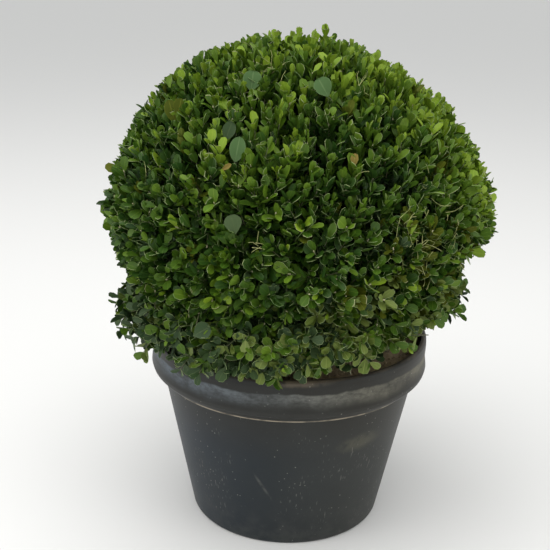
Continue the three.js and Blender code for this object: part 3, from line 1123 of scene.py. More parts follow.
def rounded(profile: list[Span], cut: float, steps: int = 4) -> list[Span]:
    """Turns each inner corner of a profile into a short curve.

    Args:
        profile: its corners.
        cut: how far from a corner the curve may start.
        steps: how many pieces each curve has.

    Returns:
        The finer profile.
    """
    made = [profile[0]]
    for corners in zip(profile, profile[1:], profile[2:]):
        a, b, c = (np.array(corner, float) for corner in corners)
        start = b + (a - b) * min(0.4, cut / np.linalg.norm(a - b))
        end = b + (c - b) * min(0.4, cut / np.linalg.norm(c - b))
        for step in range(steps + 1):
            t = step / steps
            made.append(tuple((1 - t) ** 2 * start + 2 * t * (1 - t) * b + t**2 * end))
    made.append(profile[-1])
    return made


@dataclass
class Pot:
    """The moulded pot, turned from its profile in mm, with drain holes in its floor."""

    finish: Material
    segments: int = 144
    rim_height: float = 236
    outside: tuple[Span, ...] = (
        (0, 0), (116.5, 0), (119, 3), (155.4, 180.6), (157.5, 181.1), (157.9, 183.4), (164.5, 187.5),
        (169, 192.5), (170.5, 198), (168.7, 211), (169.5, 227), (169, 233.5), (166.5, 236),
    )
    inside: tuple[Span, ...] = (
        (162.5, 236), (165.3, 228), (165.8, 199), (161.5, 190), (152.3, 183), (115.8, 3.2), (0, 3.2),
    )
    corner: float = 1.6
    oval: float = 0.0016
    waviness: float = 0.0006
    holes: int = 6
    hole_ring: float = 0.092
    hole_radius: float = 0.007
    hole_sides: int = 24
    drilled: Span = (-0.01, 0.015)
    sharp_degrees: float = 38

    def build(self) -> None:
        """Builds the pot and cuts its holes."""
        profile = rounded([*self.outside, *self.inside], self.corner)[1:-1]
        turns = np.arange(self.segments) * FULL_TURN / self.segments
        points = []
        for radius, height in profile:
            sag = 1 + self.oval * np.sin(2 * turns + 0.7) * height / self.rim_height
            sag += self.waviness * np.sin(5 * turns)
            for turn, share in zip(turns, sag):
                r = radius * share * MM
                points.append((r * math.cos(turn), r * math.sin(turn), height * MM))
        faces = tube_faces(len(profile), self.segments) + end_faces(len(profile), self.segments)
        pot = mesh_object("pot", np.array(points), faces)
        self._cut_holes(pot)
        pot.data.set_sharp_from_angle(angle=math.radians(self.sharp_degrees))
        pot.data.materials.append(self.finish)
        add_piece(pot, ("container_pot",))

    def _cut_holes(self, pot: Object) -> None:
        """Cuts the drain holes through the pot's floor."""
        points, faces = [], []
        for hole in range(self.holes):
            around = FULL_TURN * hole / self.holes
            middle = self.hole_ring * np.array([math.cos(around), math.sin(around)])
            start = len(points)
            for height in self.drilled:
                for i in range(self.hole_sides):
                    turn = FULL_TURN * i / self.hole_sides
                    spot = middle + self.hole_radius * np.array([math.cos(turn), math.sin(turn)])
                    points.append((*spot, height))
            faces += tube_faces(2, self.hole_sides, start) + end_faces(2, self.hole_sides, start)
        drill = mesh_object("drill", np.array(points), faces, smooth=False)
        cut = pot.modifiers.new("holes", "BOOLEAN")
        cut.operation = "DIFFERENCE"
        cut.object = drill
        pot.data = plain_mesh(pot, cut)
        discard([drill])


@dataclass
class PottingMix:
    """The potting mix: a lumpy surface with loose crumbs and bark chips on it.

    The edge is its radius and the level its height. The wall goes down the pot's inner side. The
    mound is in its middle, and the heap is at the right, round a bearing in degrees.
    """

    finishes: Finishes
    scatter: Scatter
    seed: int = 5
    edge: float = 0.1652
    level: float = 0.2198
    wall: tuple[Span, ...] = ((0.1650, 0.199), (0.1608, 0.1905), (0.1515, 0.1832), (0.1150, 0.0035))
    lumps: tuple[int, ...] = (55, 90, 160, 260, 420)
    lump_height: float = 0.0013
    mound_height: float = 0.002
    heap_turn: float = -42
    heap_width: float = 34
    heap_height: float = 0.009
    rings: int = 44
    segments: int = 128

    def height_at(self, across: Array, beyond: Array) -> Array:
        """Works out the surface's height.

        Args:
            across: places along X.
            beyond: places along Y.

        Returns:
            The height at each place.
        """
        lumps = np.zeros(len(across))
        rng = np.random.default_rng(self.seed)
        for size in self.lumps:
            for _ in range(4):
                turn, phase = rng.uniform(0, FULL_TURN, 2)
                along = across * math.cos(turn) + beyond * math.sin(turn)
                lumps += np.sin(along * size + phase) * 30 / size
        radius = np.hypot(across, beyond)
        mound = self.mound_height * smoothstep(0.09, 0.02, radius)
        turn = np.degrees(np.arctan2(beyond, across))
        heap = self.heap_height * bell(turn - self.heap_turn, self.heap_width)
        return self.level + self.lump_height * lumps + mound + heap * smoothstep(0.085, 0.135, radius)

    def build(self) -> None:
        """Builds the mix, its crumbs and its chips."""
        points, faces = [(0.0, 0.0, self.level + self.mound_height)], []
        turns = np.arange(self.segments) * FULL_TURN / self.segments
        for ring in range(1, self.rings + 1):
            radius = self.edge * ring / self.rings
            x, y = radius * np.cos(turns), radius * np.sin(turns)
            points += list(zip(x, y, self.height_at(x, y)))
        for radius, height in self.wall:
            points += [(radius * math.cos(t), radius * math.sin(t), height) for t in turns]
        rings = self.rings + len(self.wall) - 1
        for i in range(self.segments):
            j = (i + 1) % self.segments
            faces.append((0, 1 + i, 1 + j))
            for ring in range(rings):
                a, b = 1 + ring * self.segments, 1 + (ring + 1) * self.segments
                faces.append((a + i, b + i, b + j, a + j))
        faces.append(end_faces(1, self.segments, 1 + rings * self.segments)[0])
        soil = mesh_object("potting_mix_bed", np.array(points), faces)
        soil.data.materials.append(self.finishes.mix)
        add_piece(soil, ("potting_mix",))
        self._strew("mix_crumbs", self.finishes.mix, 2600, (0.0016, 0.0052), (1.0, 0.8, 0.6))
        self._strew("mix_chips", self.finishes.bark, 240, (0.004, 0.010), (1.0, 0.45, 0.22))

    def _strew(self, name: str, finish: Material, count: int, sizes: Span, form: tuple) -> None:
        """Strews crumbs of one kind over the surface.

        Args:
            name: the piece's name.
            finish: its material.
            count: how many there are.
            sizes: the smallest and the largest.
            form: how long, broad and thick they are.
        """
        rng = np.random.default_rng(self.seed + count)
        radius = (self.edge - 0.003) * np.sqrt(rng.uniform(0.02, 1, count))
        turn = rng.uniform(0, FULL_TURN, count)
        x, y = radius * np.cos(turn), radius * np.sin(turn)
        size = rng.uniform(*sizes, count)
        stand = Stand(
            root=np.stack([x, y, self.height_at(x, y) + 0.15 * size], axis=1),
            along=unit(rng.normal(size=(count, 3)) * [1, 1, 0.35]),
            face=unit(UP + 0.5 * rng.normal(size=(count, 3))),
            size=size[:, None] * np.array(form) * rng.uniform(0.7, 1.3, (count, 3)),
            form=rng.integers(0, 3, count),
        )
        forms = [crumb_form(f"{name}_form_{i}", i) for i in range(3)]
        add_piece(self.scatter.make(name, forms, finish, stand))
        discard(forms)


def catmull(points: Array, count: int) -> Array:
    """Draws a smooth path through points.

    Args:
        points: the points, one a row.
        count: how many points the path has.

    Returns:
        The path.
    """
    given = np.concatenate([[2 * points[0] - points[1]], points, [2 * points[-1] - points[-2]]])
    made = []
    for share in np.linspace(0, len(points) - 1 - 1e-6, count):
        i = int(share)
        t = share - i
        a, b, c, d = given[i : i + 4]
        square, cube = (2 * a - 5 * b + 4 * c - d) * t**2, (3 * b - a - 3 * c + d) * t**3
        made.append(0.5 * (2 * b + (c - a) * t + square + cube))
    return np.array(made)


def bark_tube(path: Array, radii: Array, sides: int, relief: float, seed: int) -> tuple:
    """Makes a limb with ridged bark along a path.

    Args:
        path: the limb's middle line.
        radii: its radius at each point of the path.
        sides: how many sides it has.
        relief: how far its bark rises, as a share of the radius.
        seed: picks the ridges.

    Returns:
        Its points and its faces.
    """
    rng = np.random.default_rng(seed)
    side = unit(np.cross(path[1] - path[0], [0.3, 1.0, 0.1]))
    points = []
    turns = np.arange(sides) * FULL_TURN / sides
    ridges = rng.uniform(0, FULL_TURN, 4)
    for i, middle in enumerate(path):
        run = unit(path[min(i + 1, len(path) - 1)] - path[max(i - 1, 0)])
        side = unit(side - run * np.dot(side, run))
        other = np.cross(run, side)
        wavy = sum(np.sin((k + 3) * turns + ridges[k] + 0.35 * i * (k - 1.5)) for k in range(4)) / 4
        rough = rng.normal(size=sides) * 0.3
        radius = radii[i] * (1 + relief * (wavy + rough))
        points += [middle + r * (math.cos(t) * side + math.sin(t) * other) for r, t in zip(radius, turns)]
    return np.array(points), tube_faces(len(path), sides) + end_faces(len(path), sides)


@dataclass(frozen=True)
class BoughRing:
    """A ring of like boughs, in mm and degrees, in the places that the source gives.

    Name is its piece's, and the names of its nodes start with node. Each stop says how far out a
    point of a bough is and how far off its slope. The radius is the root's, in metres.
    """

    name: str
    node: str
    count: int
    start: Point
    first_turn: float
    slope: float
    stops: tuple[Span, ...]
    radius: float
    seed: int

    def paths(self) -> list[Array]:
        """The middle line of each bough."""
        rise = math.tan(math.radians(self.slope))
        found = []
        for i in range(self.count):
            turn = math.radians(self.first_turn + 360 / self.count * i)
            out = np.array([math.cos(turn), math.sin(turn), 0])
            points = [np.array(self.start, float)]
            for reach, lift in self.stops:
                points.append(np.array(self.start) + out * reach + UP * (reach * rise + lift))
            found.append(catmull(np.array(points) * MM, 26))
        return found

    def build(self, finish: Material) -> list[Array]:
        """Builds the boughs as one piece.

        Args:
            finish: their material.

        Returns:
            Their middle lines.
        """
        all_points, all_faces, base = [], [], 0
        paths = self.paths()
        for i, path in enumerate(paths):
            radii = self.radius * np.linspace(1, 0.34, len(path))
            points, faces = bark_tube(path, radii, 14, BARK_RELIEF, self.seed + i)
            all_points.append(points)
            all_faces += [tuple(base + corner for corner in face) for face in faces]
            base += len(points)
        piece = mesh_object(self.name, np.concatenate(all_points), all_faces)
        piece.data.materials.append(finish)
        add_piece(piece, tuple(f"{self.node}{i + 1}" for i in range(self.count)))
        return paths


BARK_RELIEF = 0.10
MAIN_STOPS = ((32.2, -1), (62.6, -1), (92, 3))
LOW_STOPS = ((36, 1), (73.4, 6), (108, 9))
MAIN_RING = BoughRing(
    "main_boughs", "main_bough_", MAIN_BOUGHS, (2.4, 0, 261), 18, 38, MAIN_STOPS, 0.0065, 11
)
LOW_RING = BoughRing("low_boughs", "low_bough_", FRINGE_PARTS, (0, 0, 245), 30, 0, LOW_STOPS, 0.005, 31)


@dataclass
class Limbs:
    """The trunk, the five main boughs and the six low boughs."""

    finishes: Finishes
    mix_level: float = 0.2205
    foot_depth: float = 0.004
    trunk_top: float = 0.276
    foot_radius: float = 0.024
    waist_radius: float = 0.015
    top_radius: float = 0.012
    main_paths: list[Array] = field(default_factory=list)
    low_paths: list[Array] = field(default_factory=list)

    def build(self) -> None:
        """Builds the trunk and both rings of boughs."""
        foot = self.mix_level - self.foot_depth
        tall = self.trunk_top - foot
        leaning = (0, 0, foot), (0, 0, foot + 0.3 * tall), (0.0015, 0, foot + 0.65 * tall)
        spine = catmull(np.array([*leaning, (0.003, 0, self.trunk_top)]), 34)
        share = np.linspace(0, 1, len(spine))
        flare = (self.foot_radius - self.waist_radius) * (1 - smoothstep(0, 0.5, share))
        radii = self.waist_radius + flare - (self.waist_radius - self.top_radius) * share
        points, faces = bark_tube(spine, radii, 28, BARK_RELIEF, 3)
        trunk = mesh_object("trunk_bark", points, faces)
        trunk.data.materials.append(self.finishes.bark)
        add_piece(trunk, ("trunk",))
        self.main_paths += MAIN_RING.build(self.finishes.bark)
        self.low_paths += LOW_RING.build(self.finishes.bark)


@dataclass
class Wood:
    """Straight tapering twigs, gathered before they are made, with the radius of each at its root."""

    roots: list[Array] = field(default_factory=list)
    tips: list[Array] = field(default_factory=list)
    radii: list[Array] = field(default_factory=list)

    def add(self, roots: Array, tips: Array, radii: Array) -> None:
        """Adds twigs.

        Args:
            roots: where they start.
            tips: where they end.
            radii: their radius, or one for each.
        """
        self.roots.append(roots)
        self.tips.append(tips)
        self.radii.append(np.broadcast_to(radii, len(roots)))

    def stand(self) -> Stand:
        """All twigs as places for a twig's form."""
        roots, tips, radii = (np.concatenate(rows) for rows in (self.roots, self.tips, self.radii))
        size = np.stack([np.linalg.norm(tips - roots, axis=1), radii, radii], axis=1)
        return Stand(roots, tips - roots, np.broadcast_to(TWIG_FACE, roots.shape), size)


TWIG_FACE = (0.1, 0.3, 1.0)
TWIG_LIFT = 0.10
TWIG_BEND = 0.09
TWIG_OVERLAP = 0.02
OUTER_PART = 0.45
SEARCH_ROWS = 500


def nearest(parents: Array, targets: Array) -> Array:
    """The nearest parent to each target, sought a few hundred targets at a time."""
    found = np.empty(len(targets), int)
    for start in range(0, len(targets), SEARCH_ROWS):
        gap = targets[start : start + SEARCH_ROWS, None, :] - parents[None]
        found[start : start + SEARCH_ROWS] = np.argmin((gap**2).sum(axis=2), axis=1)
    return parents[found]


def grow(
    wood: Wood, parents: Array, targets: Array, steps: int, radii: Span, rng: Chance
) -> Array:
    """Grows a bent twig to each target from the nearest parent.

    Args:
        wood: where the twigs are gathered.
        parents: points that a twig may start from.
        targets: where the twigs end.
        steps: how many straight pieces each has.
        radii: the radius at the root and at the tip.
        rng: the seeded source of chance.

    Returns:
        Points along the outer part of the new twigs.
    """
    roots = nearest(parents, targets)
    span = np.linalg.norm(targets - roots, axis=1, keepdims=True)
    bend = span * (TWIG_LIFT * UP + TWIG_BEND * rng.normal(size=roots.shape))
    middle = (roots + targets) / 2 + bend
    before, made = roots, []
    for step in range(1, steps + 1):
        t = step / steps
        spot = (1 - t) ** 2 * roots + 2 * t * (1 - t) * middle + t**2 * targets
        radius = radii[0] + (radii[1] - radii[0]) * (step - 1) / steps
        wood.add(before, spot + TWIG_OVERLAP * (spot - before), radius)
        before = spot
        if t >= OUTER_PART:
            made.append(spot)
    return np.concatenate(made)


@dataclass
class Rows:
    """Arrays of the same length, with one thing in each row."""

    @classmethod
    def joined(cls, parts: list["Rows"]) -> "Rows":
        """Several sets as one."""
        names = [item.name for item in fields(cls)]
        return cls(**{name: np.concatenate([getattr(part, name) for part in parts]) for name in names})

    def kept(self, keep: Array) -> "Rows":
        """Only the rows that are kept."""
        return type(self)(**{item.name: getattr(self, item.name)[keep] for item in fields(self)})


INTERNODE = 0.0068
BARE_FOOT = 0.006


@dataclass
class Shoots(Rows):
    """Leafy shoots, one a row.

    Each grows along its axis to its tip, and its largest leaves have its size. Its vigour is its
    colour's place on the scale from dull and deep to fresh. The shears took the tips of the
    clipped ones. The broad ones have leaves of the broad, low kind.
    """

    tip: Array
    axis: Array
    vigour: Array
    size: Array
    pairs: Array
    clipped: Array
    broad: Array

    def base(self) -> Array:
        """Where each shoot leaves its twig."""
        return self.tip - self.axis * (self.pairs * INTERNODE + BARE_FOOT)[:, None]


@dataclass
class Leaves(Rows):
    """Leaves, one a row.

    Each points along from its root, with its upper side to the face. The tint says how pale it
    is, and its vigour is its colour's place on the scale from dull and deep to fresh.
    """

    root: Array
    along: Array
    face: Array
    length: Array
    form: Array
    tint: Array
    vigour: Array

    def stand(self, size: Array) -> Stand:
        """The leaves as places for a blade's form, with their sizes along its axes."""
        return Stand(self.root, self.along, self.face, size, self.form, self.tint)


SHADE_VIGOUR = -1.0
YOUNG_VIGOUR = 5.0
BLUISH_VIGOUR = 20.0
DRY_VIGOUR = 30.0
BRONZE_VIGOUR = 40.0
OLIVE_VIGOUR = 50.0
YOUNG_SHARE = 0.07
YOUNG_TOP = 0.40
CROWN = (0.36, 0.52)
CROWN_FORMS = [Blade.WHOLE, Blade.NARROW, Blade.NARROW, Blade.NOTCHED]
SIDE_FORMS = [Blade.WHOLE, Blade.NOTCHED, Blade.NOTCHED, Blade.BROAD]
FRINGE_FORMS = [Blade.NOTCHED, Blade.BROAD, Blade.BROAD, Blade.WHOLE]
SHORN_FROM = 0.004


@dataclass
class Leafing:
    """Sets the leaves on shoots in opposite pairs, each pair a quarter turn from the next.

    The shears cut leaves at the reach, and the lift turns their upper sides up to the light.
    """

    shoots: Shoots
    reach: Reach
    rng: Chance
    lift: float

    def build(self) -> Leaves:
        """Sets the leaves of all shoots, pair by pair from the tip."""
        shoots, rng = self.shoots, self.rng
        count = len(shoots.tip)
        start = rng.uniform(0, math.pi, count)
        aside = unit(np.cross(shoots.axis, unit(rng.normal(size=(count, 3)))))
        other = np.cross(shoots.axis, aside)
        whole_and_low = ~shoots.clipped & (shoots.tip[:, 2] < YOUNG_TOP)
        young = whole_and_low & (rng.uniform(size=count) < YOUNG_SHARE)
        found = []
        for pair in range(int(shoots.pairs.max())):
            have = shoots.pairs > pair
            part = shoots.kept(have)
            turn = start[have] + pair * math.pi / 2 + rng.normal(0, 0.18, len(part.tip))
            budding = young[have] & (pair == 0)
            for side in (0.0, math.pi):
                out = aside[have] * np.cos(turn + side)[:, None]
                out = out + other[have] * np.sin(turn + side)[:, None]
                found.append(self._set(part, pair, out, budding))
        return Leaves.joined(found)

    def _set(self, shoots: Shoots, pair: int, out: Array, budding: Array) -> Leaves:
        """Sets one leaf on each shoot.

        Args:
            shoots: the shoots that have this pair.
            pair: the pair's number from the tip.
            out: the way out of each shoot on the leaf's side.
            budding: whether it is a small young leaf.

        Returns:
            The leaves.
        """
        rng, count = self.rng, len(out)
        crown = smoothstep(*CROWN, shoots.tip[:, 2])
        lean = np.where(shoots.clipped, 32, 15 + 10 * min(pair, 4))
        lean = np.where(shoots.broad, lean + 20, lean)
        lean = np.radians(lean + 5 - 13 * crown + rng.normal(0, 10, count))[:, None]
        along = unit(np.cos(lean) * shoots.axis + np.sin(lean) * out + 0.10 * rng.normal(size=out.shape))
        face = np.sin(lean) * shoots.axis - np.cos(lean) * out + self.lift * UP
        face = face + 0.30 * rng.normal(size=out.shape)
        root = shoots.tip - shoots.axis * (pair * INTERNODE + 0.001) + out * 0.0006
        length = shoots.size * self._grown(shoots, pair, budding) * rng.uniform(0.84, 1.12, count)
        past = self.reach.beyond(root + along * length[:, None]) > SHORN_FROM
        shorn = past & (rng.uniform(size=count) < 0.40 + 0.30 * crown) & ~shoots.broad
        narrow = rng.uniform(size=count) < crown
        form = np.where(narrow, rng.choice(CROWN_FORMS, count), rng.choice(SIDE_FORMS, count))
        form = np.where(shoots.broad, rng.choice(FRINGE_FORMS, count), form)
        tint = np.clip(rng.normal(0.14, 0.12, count) + 0.12 * (pair == 0), 0, 0.8)
        vigour = shoots.vigour + (0.35 if pair == 0 else -0.22 * pair) + rng.normal(0, 0.16, count)
        vigour = np.where(budding, YOUNG_VIGOUR, vigour)
        return Leaves(root, along, face, length, np.where(shorn, Blade.CUT, form), tint, vigour)

    @staticmethod
    def _grown(shoots: Shoots, pair: int, budding: Array) -> Array:
        """How far the leaves of a pair are grown, as a share of the shoot's largest."""
        grown = np.where(shoots.broad, 0.85 + 0.1 * pair, 0.70 + 0.16 * pair)
        grown = np.where(shoots.clipped, 1.0, np.minimum(grown, 1.0))
        return np.where(budding, 0.55, grown)


class Lens:
    """The photograph's viewing angle."""

    place = np.array([-0.0197, -1.1428, 0.6769])
    pitch = math.radians(18.158)
    roll = math.radians(1.383)
    focal_mm = 64.23
    sensor_mm = 36.0
    frame_px = 550

    def axes(self) -> tuple[Array, Array, Array]:
        """The camera's right, up and forward."""
        forward = np.array([0, math.cos(self.pitch), -math.sin(self.pitch)])
        level = np.array([1.0, 0, 0])
        upright = np.array([0, math.sin(self.pitch), math.cos(self.pitch)])
        right = math.cos(self.roll) * level + math.sin(self.roll) * upright
        up = -math.sin(self.roll) * level + math.cos(self.roll) * upright
        return right, up, forward

    def camera(self) -> None:
        """Adds the scene's camera."""
        right, up, forward = self.axes()
        data = bpy.data.cameras.new("camera")
        data.lens = self.focal_mm
        data.sensor_width = self.sensor_mm
        made = linked("camera", data)
        turn = Matrix(np.stack([right, up, -forward], axis=1).tolist()).to_4x4()
        made.matrix_world = Matrix.Translation(Vector(self.place)) @ turn
        bpy.context.scene.camera = made

    def on_ball(self, spot: Span, reach: Reach) -> Array:
        """Finds the point of the ball that shows at a spot of the frame.

        Args:
            spot: the spot, in pixels from the frame's top left.
            reach: the ball.

        Returns:
            The point.
        """
        right, up, forward = self.axes()
        focal = self.focal_mm / self.sensor_mm * self.frame_px
        middle = self.frame_px / 2
        ray = unit(forward + right * (spot[0] - middle) / focal - up * (spot[1] - middle) / focal)
        away = self.place - np.array(reach.centre)
        along = np.dot(ray, away)
        inside = max(along**2 - (np.dot(away, away) - reach.radius**2), 0)
        return self.place + ray * (-along - math.sqrt(inside))


@dataclass(frozen=True)
class Accent:
    """A leaf that stands out from its neighbours.

    The spot is where it shows from the front, in pixels of the photograph. The turn is how far its
    tip leans to the right of straight up, in degrees. The lift turns its upper side to the light,
    the tint says how pale it is, and clear is the room around it, as a share of its length.
    """

    spot: Span
    size: float
    turn: float
    vigour: float = BLUISH_VIGOUR
    form: Blade = Blade.LARGE
    lift: float = 0.25
    tint: float = 0.1
    clear: float = 0.5


YOUNG_LEAVES = (
    ((181, 74), 0.015, -20),
    ((276, 32), 0.012, -12),
    ((299, 29), 0.013, 6),
    ((314, 32), 0.011, 12),
    ((325, 27), 0.015, -4),
)
ACCENTS = (
    Accent((237, 148), 0.026, 12),
    Accent((229, 131), 0.020, 22, SHADE_VIGOUR, tint=0.2, clear=0.55),
    Accent((253, 80), 0.022, 8, form=Blade.ROUND),
    Accent((233, 225), 0.020, -15, SHADE_VIGOUR, Blade.ROUND, tint=0.7),
    Accent((200, 336), 0.021, 62, SHADE_VIGOUR, Blade.ROUND),
    Accent((323, 86), 0.022, -32, form=Blade.ROUND),
    Accent((354, 160), 0.015, 8, DRY_VIGOUR, Blade.NOTCHED, tint=0.0, clear=0.6),
    Accent((225, 166), 0.013, 62, DRY_VIGOUR, Blade.NARROW),
    Accent((171, 110), 0.024, -16, BRONZE_VIGOUR),
    Accent((178, 106), 0.021, 14, BRONZE_VIGOUR, Blade.BROAD),
    Accent((112, 170), 0.020, -60, BRONZE_VIGOUR, Blade.NOTCHED, tint=0.6, clear=0.425),
    *(Accent(*leaf, YOUNG_VIGOUR, Blade.NOTCHED, lift=0.5, clear=0.0) for leaf in YOUNG_LEAVES),
)
ACCENT_DEPTH = 0.001
BROWNED_SIDE = unit(np.array([0.62, -0.77, 0.09]))
# The side of the ball where painted light makes the leaves lighter in colour.
LIT_SIDE = unit(np.array([0.93, 0.04, 0.34]))
GAPS = ((195, 235), (210, 300), (252, 245), (300, 262), (372, 300), (160, 290))
GAP_RADIUS = 0.0125
SPROUTS = ((276, 38), (299, 34), (313, 39), (326, 31), (182, 71))
SPROUT_VIGOUR = 4.0
SPROUT_WAY = (0.05, -0.1, 1.0)
KNOTS = ((363, 84), (240, 80), (253, 247), (268, 62), (404, 224), (413, 240), (424, 252))
KNOT_STALKS = 5
CLUMPS = 620
CLUMP_ANGLE = 0.066
SHOOT_RADIUS = 0.0006


@dataclass(frozen=True)
class Shell:
    """One depth of the ball's shoots.

    Low is z of the lowest way out, the depths say how deep the tips lie, wander is how far the
    shoots stray, most is the most pairs of leaves on one, and duller lowers their colour's
    place: deeper shells get darker leaves as painted shade.
    """

    count: int
    low: float
    depths: Span
    wander: float
    most: int
    duller: float


OUTER = Shell(2600, -0.36, (-0.003, 0.005), 0.35, 6, 0.0)
MIDDLE = Shell(1650, -0.40, (0.013, 0.026), 0.45, 5, 0.55)
INNER = Shell(700, -0.42, (0.034, 0.058), 0.60, 4, 1.10)


@dataclass(frozen=True)
class Mass:
    """How the leaves of one mass of foliage are made.

    The lift turns their upper sides to the light. The kinds go from dull and deep to fresh and
    change at the steps of the colour scale. More_rims is added to the share of pale rims.
    """

    name: str
    nodes: tuple[str, ...]
    lift: float
    kinds: tuple[Leaf, ...]
    steps: tuple[float, ...]
    more_rims: float = 0.0

    def kind_of(self, vigour: Array) -> Array:
        """The kind of leaf for each value on the colour scale."""
        kinds = np.array([self.kinds[i] for i in np.digitize(vigour, self.steps)], dtype=object)
        kinds[vigour < -0.2] = Leaf.SHADE
        kinds[vigour > YOUNG_VIGOUR - 1] = Leaf.FRESH
        for kind, value in (
            (Leaf.BLUISH, BLUISH_VIGOUR),
            (Leaf.DRY, DRY_VIGOUR),
            (Leaf.BRONZE, BRONZE_VIGOUR),
            (Leaf.OLIVE, OLIVE_VIGOUR),
        ):
            kinds[vigour > value - 5] = kind
        return kinds


BALL_KINDS = (Leaf.DEEP, Leaf.MID, Leaf.BRIGHT, Leaf.FRESH)
LOW_KINDS = (Leaf.SHADE, Leaf.OLIVE, Leaf.MID, Leaf.BRIGHT)
BALL = Mass("ball", BALL_NODES, 0.30, BALL_KINDS, (1.0, 1.95, 2.85))
FRINGE = Mass("fringe", FRINGE_NODES, 0.25, LOW_KINDS, (0.35, 1.35, 2.15), 0.16)


def directions(count: int, low: float, rng: Chance) -> Array:
    """Spreads ways out of the ball evenly.

    Args:
        count: how many there are.
        low: z of the lowest. The highest is straight up.
        rng: the seeded source of chance.

    Returns:
        Unit vectors, one a row.
    """
    z = 1 - (1 - low) * (np.arange(count) + 0.5) / count
    turn = np.arange(count) * GOLDEN_ANGLE
    across = np.sqrt(1 - z**2)
    even = np.stack([across * np.cos(turn), across * np.sin(turn), z], axis=1)
    return unit(even + rng.normal(0, 0.016, even.shape))


@dataclass
class BallShoots:
    """The shoots of the clipped ball, in three depths."""

    reach: Reach
    lens: Lens
    rng: Chance
    clump_seed: int
    leaf: float = 0.0166

    def build(self) -> Shoots:
        """All shoots but those at the dark gaps and around the leaves that stand out."""
        clumps = directions(CLUMPS, -0.38, np.random.default_rng(self.clump_seed))
        shells = [self._shell(shell, clumps) for shell in (OUTER, MIDDLE, INNER)]
        return self._opened(Shoots.joined([*shells, self._sprouts()]))

    def _shell(self, shell: Shell, clumps: Array) -> Shoots:
        """Makes the shoots of one shell.

        Args:
            shell: the shell.
            clumps: the ways out to the middles of the clumps.

        Returns:
            The shoots.
        """
        rng, count = self.rng, shell.count
        out = directions(count, shell.low, rng)
        off = (out - clumps[np.argmax(out @ clumps.T, axis=1)]) / CLUMP_ANGLE
        if shell is not INNER:
            out = unit(out - 0.25 * CLUMP_ANGLE * off)
        outer = shell is OUTER
        depth = rng.uniform(*shell.depths, count)
        depth += 0.0045 * np.minimum((off**2).sum(axis=1), 1.6) - 0.0015
        depth -= 0.0030 * wave(out, 7)
        sprout = (rng.uniform(size=count) < 0.035 * smoothstep(-0.2, 0.6, out[:, 2])) & outer
        depth -= sprout * rng.uniform(0.004, 0.009, count)
        return Shoots(
            axis=self._axes(out, off, shell.wander),
            vigour=self._vigour(out, shell.duller),
            tip=self.reach.ball_point(out, depth),
            pairs=rng.integers(shell.most - 1, shell.most + 1, count),
            size=self.leaf * rng.uniform(0.86, 1.14, count),
            clipped=(rng.uniform(size=count) < 0.42) & outer & ~sprout,
            broad=np.zeros(count, bool),
        )

    def _axes(self, out: Array, off: Array, wander: float) -> Array:
        """Finds the ways that shoots grow: out, up and away from their clump's middle.

        Args:
            out: the ways out of the ball.
            off: how far each is off its clump's middle.
            wander: how far the shoots stray.

        Returns:
            Unit vectors, one a row.
        """
        upright = 0.20 + 1.25 * smoothstep(-0.2, 0.7, out[:, 2])
        calm = 1 - 0.35 * smoothstep(0.1, 0.7, out[:, 2])
        stir = (wander * calm)[:, None] * self.rng.normal(size=out.shape) * [1, 1, 0.8]
        axis = unit(0.8 * out + upright[:, None] * UP + stir + 0.30 * off)
        turned_in = (axis * out).sum(axis=1) < 0.3
        axis[turned_in] = unit(axis[turned_in] + 0.9 * out[turned_in])
        return axis

    def _vigour(self, out: Array, duller: float) -> Array:
        """Deals out the colours: lighter above and at the right, partly for fresh growth and partly as
        painted light; bronze and olive low at the right.

        Args:
            out: the ways out of the ball.
            duller: how much darker the shell's leaves are made, as painted shade in the depth.

        Returns:
            Each shoot's place on the colour scale.
        """
        rng, across, high = self.rng, out[:, 0], out[:, 2]
        right = 0.35 * smoothstep(0.0, 0.9, across) * smoothstep(-0.3, 0.4, high)
        dim = 0.35 * smoothstep(-0.1, -0.8, across) * smoothstep(0.0, 0.6, high)
        # Lighter colours above and at the right: partly fresh growth, partly painted light from above and
        # the right.
        fresh = 0.9 * smoothstep(0.1, 0.95, high) + right
        vigour = 1.35 + fresh - dim + 0.45 * wave(out, 11) + rng.normal(0, 0.66, len(out)) - duller
        # Painted light: the leaves along the lit side at the right get much lighter colours.
        vigour += 1.15 * smoothstep(0.72, 0.96, out @ LIT_SIDE)
        browned = 0.008 + 0.10 * near(out, BROWNED_SIDE, 0.10) + 0.02 * (wave(out, 17) > 1.1)
        vigour = np.where(rng.uniform(size=len(out)) < browned, BRONZE_VIGOUR, vigour)
        dulled = 0.36 * smoothstep(0.15, -0.28, high) * smoothstep(-0.3, 0.45, across)
        return np.where(rng.uniform(size=len(out)) < dulled, OLIVE_VIGOUR, vigour)

    def _sprouts(self) -> Shoots:
        """The few longer sprouts at the crown."""
        count = len(SPROUTS)
        return Shoots(
            tip=np.array([self.lens.on_ball(spot, self.reach) for spot in SPROUTS]),
            axis=np.broadcast_to(unit(np.array(SPROUT_WAY)), (count, 3)),
            vigour=np.full(count, SPROUT_VIGOUR),
            size=np.full(count, self.leaf),
            pairs=np.full(count, 4),
            clipped=np.zeros(count, bool),
            broad=np.zeros(count, bool),
        )

    def _opened(self, shoots: Shoots) -> Shoots:
        """Leaves out the shoots at the dark gaps and around the leaves that stand out."""
        open_spots = [(gap, GAP_RADIUS) for gap in GAPS]
        open_spots += [(accent.spot, accent.clear * accent.size) for accent in ACCENTS]
        keep = np.ones(len(shoots.tip), bool)
        for spot, radius in open_spots:
            middle = self.lens.on_ball(spot, self.reach)
            keep &= np.linalg.norm(shoots.tip - middle, axis=1) > radius
        return shoots.kept(keep)


